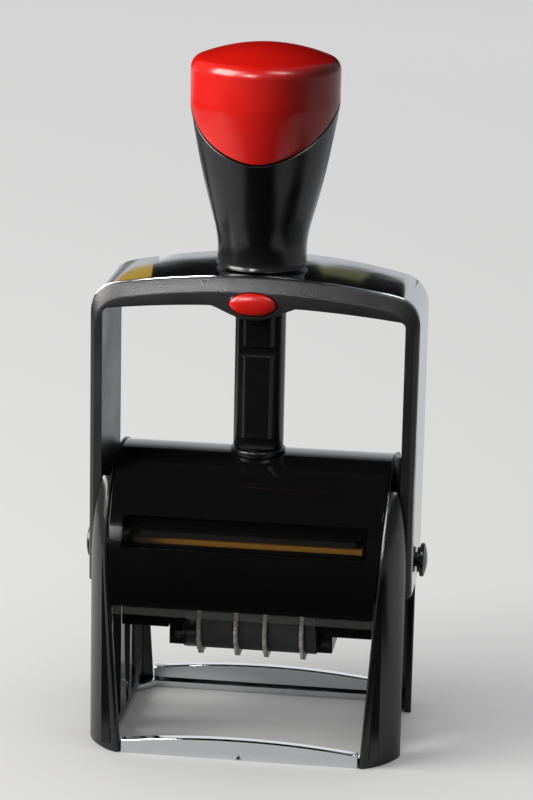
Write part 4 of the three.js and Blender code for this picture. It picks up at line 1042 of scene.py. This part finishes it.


# Matt paper. Cameras and reflections see it pale, with a painted shade where the object keeps light
# from it, and it gives the object no light of its own
def makeFloor():
    bm = bmesh.new()
    bmesh.ops.create_grid(bm, x_segments=1, y_segments=1, size=studio["floorSize"] / 2)
    moved(bm, z=-studio["floorDrop"])
    floor = newMesh("floor", bm)
    material, tree = newMaterial("mattPaper")
    place = addNode(tree, "TexCoord").outputs["Object"]
    clouds = addNode(tree, "TexNoise", {
        "Vector": place, "Scale": studio["cloudScale"], "Detail": 3.0})
    colour = addNode(tree, "Mix", {"Factor": clouds.outputs[0], 6: linear(studio["floorColour"]),
                                   7: linear(studio["floorShade"])}, data_type="RGBA")
    paper = addNode(tree, "BsdfDiffuse", {"Color": colour.outputs[2]})
    depth = addNode(tree, "SeparateXYZ", {0: place}).outputs["Y"]
    back = addNode(tree, "MapRange", {
        "Value": depth, "From Min": studio["near"], "From Max": studio["far"]})
    far = addNode(tree, "Mix", {"Factor": back.outputs[0], 6: linear(studio["glowNear"]),
                                7: linear(studio["glowFar"])}, data_type="RGBA")
    path = addNode(tree, "LightPath").outputs
    mirrored = addNode(tree, "Math", {
        0: path["Is Glossy Ray"], 1: path["Is Transmission Ray"]}, operation="MAXIMUM").outputs[0]
    seen = addNode(tree, "Math", {
        0: mirrored, 1: studio["mirrored"], 2: path["Is Camera Ray"]},
        operation="MULTIPLY_ADD").outputs[0]
    # Painted shade: ambient occlusion dims the pale glow under and around the object
    paintedShade = addNode(tree, "AmbientOcclusion", {"Distance": studio["shadeReach"]}, samples=16)
    glow = addNode(tree, "Math", {0: seen, 1: paintedShade.outputs["AO"]}, operation="MULTIPLY")
    pale = addNode(tree, "Emission", {"Color": far.outputs[2], "Strength": glow.outputs[0]})
    both = addNode(tree, "AddShader", {0: paper.outputs[0], 1: pale.outputs[0]})
    addNode(tree, "OutputMaterial", {"Surface": both.outputs[0]})
    floor.data.materials.append(material)


cardThickness, clothThickness, clothHeight = 0.001, 0.0004, 0.0002


# Cards and cloths glow in a flat colour that only reflections see, as painted reflections
def makeCards():
    shapes = [(look, prism(look["outline"], "y", look["y"], look["y"] + cardThickness))
              for look in cards]
    for look in cloths:
        height = look.get("height", clothHeight)
        shapes.append((look, prism(look["outline"], "z", height, height + clothThickness)))
    for look, bm in shapes:
        card = newMesh(look["name"], bm)
        material, tree = newMaterial(look["name"])
        glow = addNode(tree, "Emission", {"Color": linear(look.get("colour", studio["dark"])),
                                          "Strength": look.get("glow", 1.0)})
        addNode(tree, "OutputMaterial", {"Surface": glow.outputs[0]})
        card.data.materials.append(material)
        card.visible_camera = False
        card.visible_diffuse = False
        card.visible_transmission = False
        card.visible_shadow = False


# One soft key from the front left
keyBox = dict(place=(-0.965, -0.49, 0.73), aim=(0, 0, 0.1), size=0.85, power=31, colour="#fffdf9")


def makeLamp():
    data = bpy.data.lights.new("keyBox", "AREA")
    data.size = keyBox["size"]
    data.energy = keyBox["power"]
    data.color = linear(keyBox["colour"])[:3]
    lamp = bpy.data.objects.new("keyBox", data)
    lamp.location = keyBox["place"]
    away = Vector(keyBox["place"]) - Vector(keyBox["aim"])
    lamp.rotation_euler = away.to_track_quat("Z", "Y").to_euler()
    scene.collection.objects.link(lamp)


# The room is dim, but looks pale to the camera and grey in reflections
def makeWorld():
    world = bpy.data.worlds.new("room")
    scene.world = world
    world.use_nodes = True
    tree = world.node_tree
    tree.nodes.clear()
    path = addNode(tree, "LightPath").outputs
    ambient, walls, pale = (linear(studio[k]) for k in ("ambient", "walls", "glowFar"))
    shine = addNode(tree, "Mix", {"Factor": path["Is Glossy Ray"], 6: ambient, 7: walls},
                    data_type="RGBA").outputs[2]
    seen = addNode(tree, "Mix", {"Factor": path["Is Camera Ray"], 6: shine, 7: pale},
                   data_type="RGBA").outputs[2]
    sky = addNode(tree, "Background", {"Color": seen, "Strength": 1.0})
    addNode(tree, "OutputWorld", {"Surface": sky.outputs[0]})


makeFloor()
makeCards()
makeLamp()
makeWorld()
print("studio lit")
